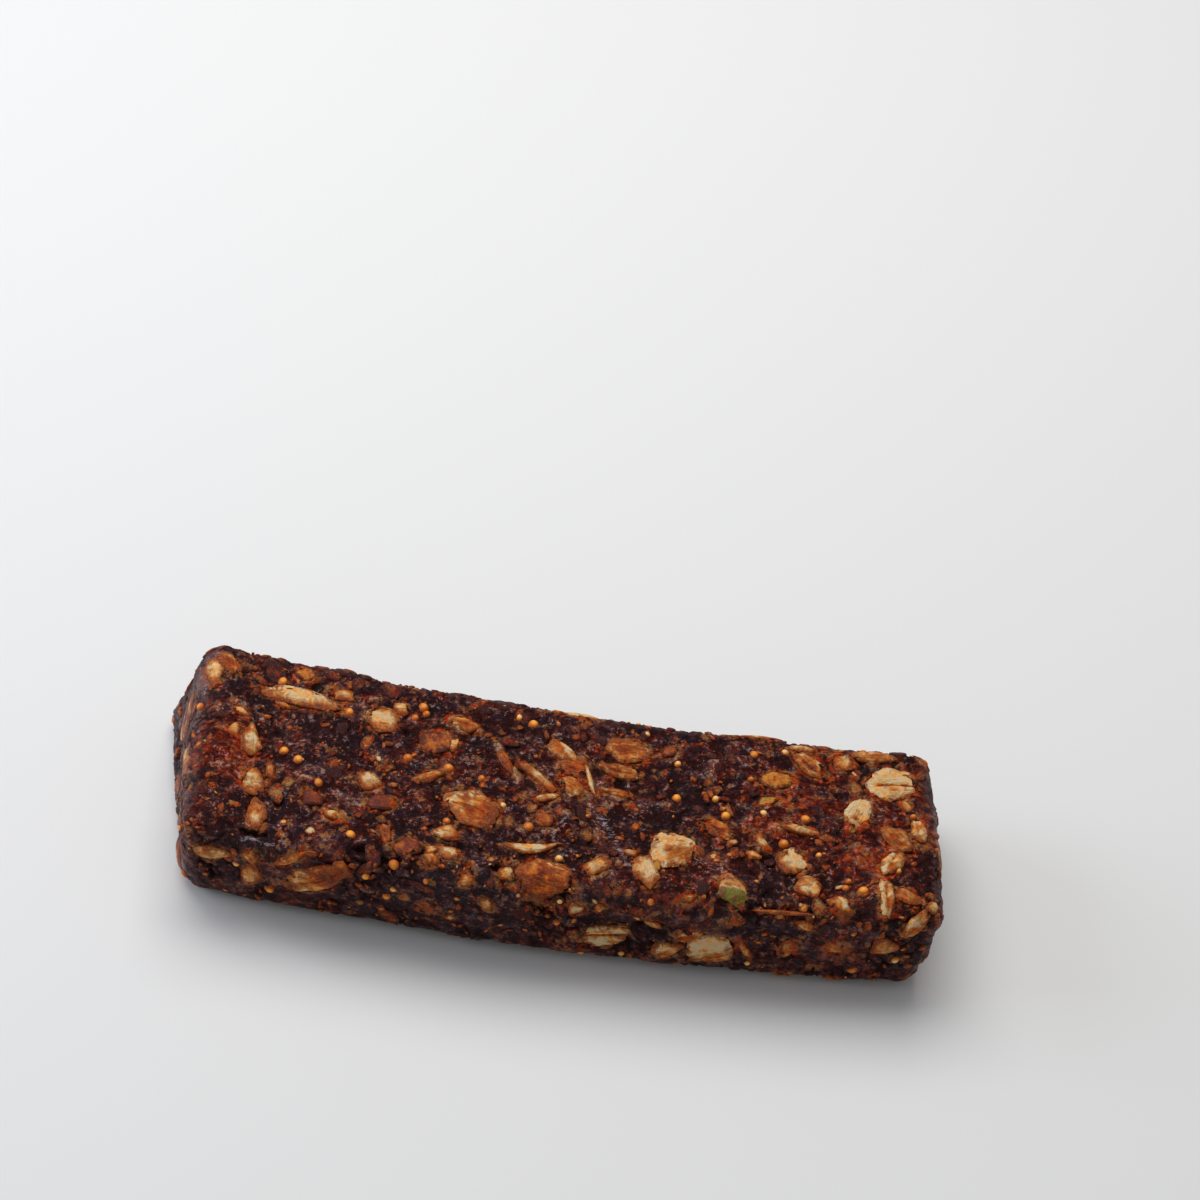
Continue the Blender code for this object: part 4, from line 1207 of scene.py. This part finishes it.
def pumpkin_finish():
    """A broken pumpkin seed: green with a tan skin left on its upper side."""
    pumpkin = Finish("pumpkin_seed")
    local = pumpkin.mark("local", "Vector")
    stain = pumpkin.mark("stain")
    rim = pumpkin.mark("rim")
    cloud = pumpkin.noise(local, 0.9, 3.0, 0.6, 0.4)
    side = stain * 0.5 + (cloud - 0.5) * 0.6 + rim.step(0.75, 1.0) * 0.2 + 0.1
    stops = [(0.0, LEAF_GREEN), (0.12, PALE_GREEN), (0.22, BISCUIT), (0.6, TAN)]
    colour = pumpkin.ramp(side, stops)
    colour = pumpkin.mix((cloud + rim * 0.12).step(0.56, 0.68) * 0.8, colour, RED_BROWN)
    pumpkin.bump(cloud, 0.8, 0.0006)
    pumpkin.set(Base_Color=colour, Roughness=0.45, Specular_IOR_Level=0.15)
    pumpkin.set(Subsurface_Weight=0.1, Subsurface_Radius=(0.001, 0.001, 0.0004))
    return pumpkin.material


def flush_level(kind, along, across):
    """The height of a piece's flat face on the underside: no two lie in one plane."""
    return UNDER_LEVEL[kind] - UNDER_STEP * abs(np.sin(7 * along + 3 * across))


def make_pieces(rows_by_face):
    """All the pieces laid on the paste, by kind."""
    rng = np.random.default_rng(PIECE_SEED)
    laid = {kind: [] for kind in STAND}
    for face, rows in rows_by_face.items():
        for kind, along, across, turn, length, width, tone in rows:
            special = SPECIAL.get((along, across), {})
            shape = piece_shape(kind, length, width, rng, special)
            if face == "under":
                shape[0][:, 2] = np.minimum(shape[0][:, 2], flush_level(kind, along, across))
            laid[kind].append(lay(shape, face, along, across, turn, tone))
    return laid


def make_seeds():
    """All the fig seeds as one object."""
    rng = np.random.default_rng(FIG_SEED)
    laid = []
    for face, places in (("top", TOP_SEEDS), ("front", FRONT_SEEDS)):
        for along, across in places:
            size = SEED_SIZE * rng.uniform(0.92, 1.06)
            shape = seed_shape(size, rng)
            laid.append(lay(shape, face, along, across, rng.uniform(0, 180), rng.uniform(0.35, 0.75)))
    for face, places in (("top", TOP_SMALL_SEEDS), ("front", FRONT_SMALL_SEEDS)):
        for along, across in places:
            shape = seed_shape(SMALL_SEED_SIZE * rng.uniform(0.85, 1.15), rng)
            laid.append(lay(shape, face, along, across, rng.uniform(0, 180), rng.choice([0.05, 0.2, 0.7])))
    for face, count in SPREAD_SEED_COUNT.items():
        axis_along, axis_across, _, _ = FACES[face]
        for along, across in spread_places(count, HALF[axis_along] - 1, HALF[axis_across] - 1, rng):
            shape = seed_shape(SEED_SIZE * rng.uniform(0.65, 1.05), rng)
            if face == "under":
                shape[0][:, 2] = np.minimum(shape[0][:, 2], flush_level("seed", along, across))
            laid.append(lay(shape, face, along, across, rng.uniform(0, 180), rng.uniform(0.1, 0.8)))
    return join("fig_seeds", laid)


def dress(piece, material):
    """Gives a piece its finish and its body."""
    piece.data.materials.append(material)
    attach(piece, "root")


def make_bar():
    """The paste, the pieces, the chips and crumbs, and the fig seeds."""
    rows = all_rows()
    rng = np.random.default_rng(CHIP_SEED)
    chips = {}
    for face, count in CHIPS.items():
        chips[face] = small_rows("chip", face, count, CHIP_SIZE, CHIP_TONES, rows[face], rng)
    paste = make_paste(rows)
    dress(paste, paste_finish())
    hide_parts("granola_bar")
    laid = make_pieces(rows)
    rng = np.random.default_rng(CRUMB_SEED)
    crumbs = {}
    for face, count in CRUMBS.items():
        crumbs[face] = small_rows("crumb", face, count, CRUMB_SIZE, CRUMB_TONES, rows[face], rng)
    laid["crumb"] = make_pieces(crumbs)["crumb"]
    laid["chip"] = make_pieces(chips)["chip"]
    names = {
        "oat": ("oat_flakes", flake_finish("oat_flake", 0.10, -0.38, 0.42), "oat_flake"),
        "nut": ("nut_pieces", flake_finish("chopped_nut", 0.25), "chopped_nut"),
        "sliver": ("nut_slivers", flake_finish("nut_sliver", 0.25), "chopped_nut"),
        "fruit": ("fruit_pieces", fruit_finish(), "dried_fruit"),
        "pumpkin": ("pumpkin_seed_piece", pumpkin_finish(), "pumpkin_seed"),
        "chip": ("skin_chips", chip_finish(), "dried_fruit"),
        "crumb": ("bran_crumbs", flake_finish("bran_crumb", 0.15), "oat_flake"),
    }
    for kind, (name, material, slot) in names.items():
        dress(join(name, laid[kind]), material)
    dress(make_seeds(), seed_finish())


def make_floor():
    """The pale ground that the bar lies on."""
    turns = [(-1, -1), (1, -1), (1, 1), (-1, 1)]
    corners = [(FLOOR_HALF * x, FLOOR_HALF * y, -FLOOR_DROP) for x, y in turns]
    floor = make_mesh("floor", np.array(corners), [(0, 1, 2, 3)], {})
    ground = Finish("pale_ground")
    ground.set(Base_Color=(0.80, 0.80, 0.80), Roughness=0.9, Specular_IOR_Level=0.1)
    floor.data.materials.append(ground.material)


def add_softbox(name, place, size, power, colour):
    """A flat rectangular light that faces the bar."""
    lamp = bpy.data.lights.new(name, "AREA")
    lamp.shape = "RECTANGLE"
    lamp.size, lamp.size_y = size
    lamp.energy = power
    lamp.color = colour
    light = bpy.data.objects.new(name, lamp)
    light.location = place
    light.rotation_euler = (-Vector(place)).to_track_quat("-Z", "Y").to_euler()
    bpy.context.scene.collection.objects.link(light)


def light_scene():
    """A white room with a softbox above and one at the left."""
    world = bpy.data.worlds.new("pale_room")
    world.use_nodes = True
    background = world.node_tree.nodes["Background"]
    background.inputs["Color"].default_value = (1.0, 1.0, 1.0, 1.0)
    background.inputs["Strength"].default_value = ROOM_LIGHT
    bpy.context.scene.world = world
    for name, (place, size, power, colour) in SOFTBOXES.items():
        add_softbox(name, place, size, power, colour)
    bpy.context.scene.view_settings.view_transform = "Standard"


def aim_camera():
    """Stands the camera so that the bar's middle shows at AIM."""
    elevation, yaw, roll = np.radians([ELEVATION, YAW, ROLL])
    ahead = np.array([np.sin(yaw), np.cos(yaw), 0.0])
    forward = np.cos(elevation) * ahead - np.sin(elevation) * np.array([0.0, 0.0, 1.0])
    level = np.array([np.cos(yaw), -np.sin(yaw), 0.0])
    upright = np.cross(level, forward)
    right = np.cos(roll) * level + np.sin(roll) * upright
    up = np.cos(roll) * upright - np.sin(roll) * level
    focal = LENS / SENSOR * PICTURE
    side = (AIM[0] - PICTURE / 2) / focal
    lift = (PICTURE / 2 - AIM[1]) / focal
    middle = np.array([-PLAN_MIDDLE[0], -PLAN_MIDDLE[1], HEIGHT / 2])
    place = middle - DISTANCE * (forward + side * right + lift * up)
    lens = bpy.data.cameras.new("camera")
    lens.lens = LENS
    lens.sensor_width = SENSOR
    lens.clip_start = 0.01
    camera = bpy.data.objects.new("camera", lens)
    turned = Matrix([right, up, -forward]).transposed().to_4x4()
    camera.matrix_world = Matrix.Translation(Vector(place * MM)) @ turned
    bpy.context.scene.collection.objects.link(camera)
    bpy.context.scene.camera = camera


make_bar()
make_floor()
light_scene()
aim_camera()
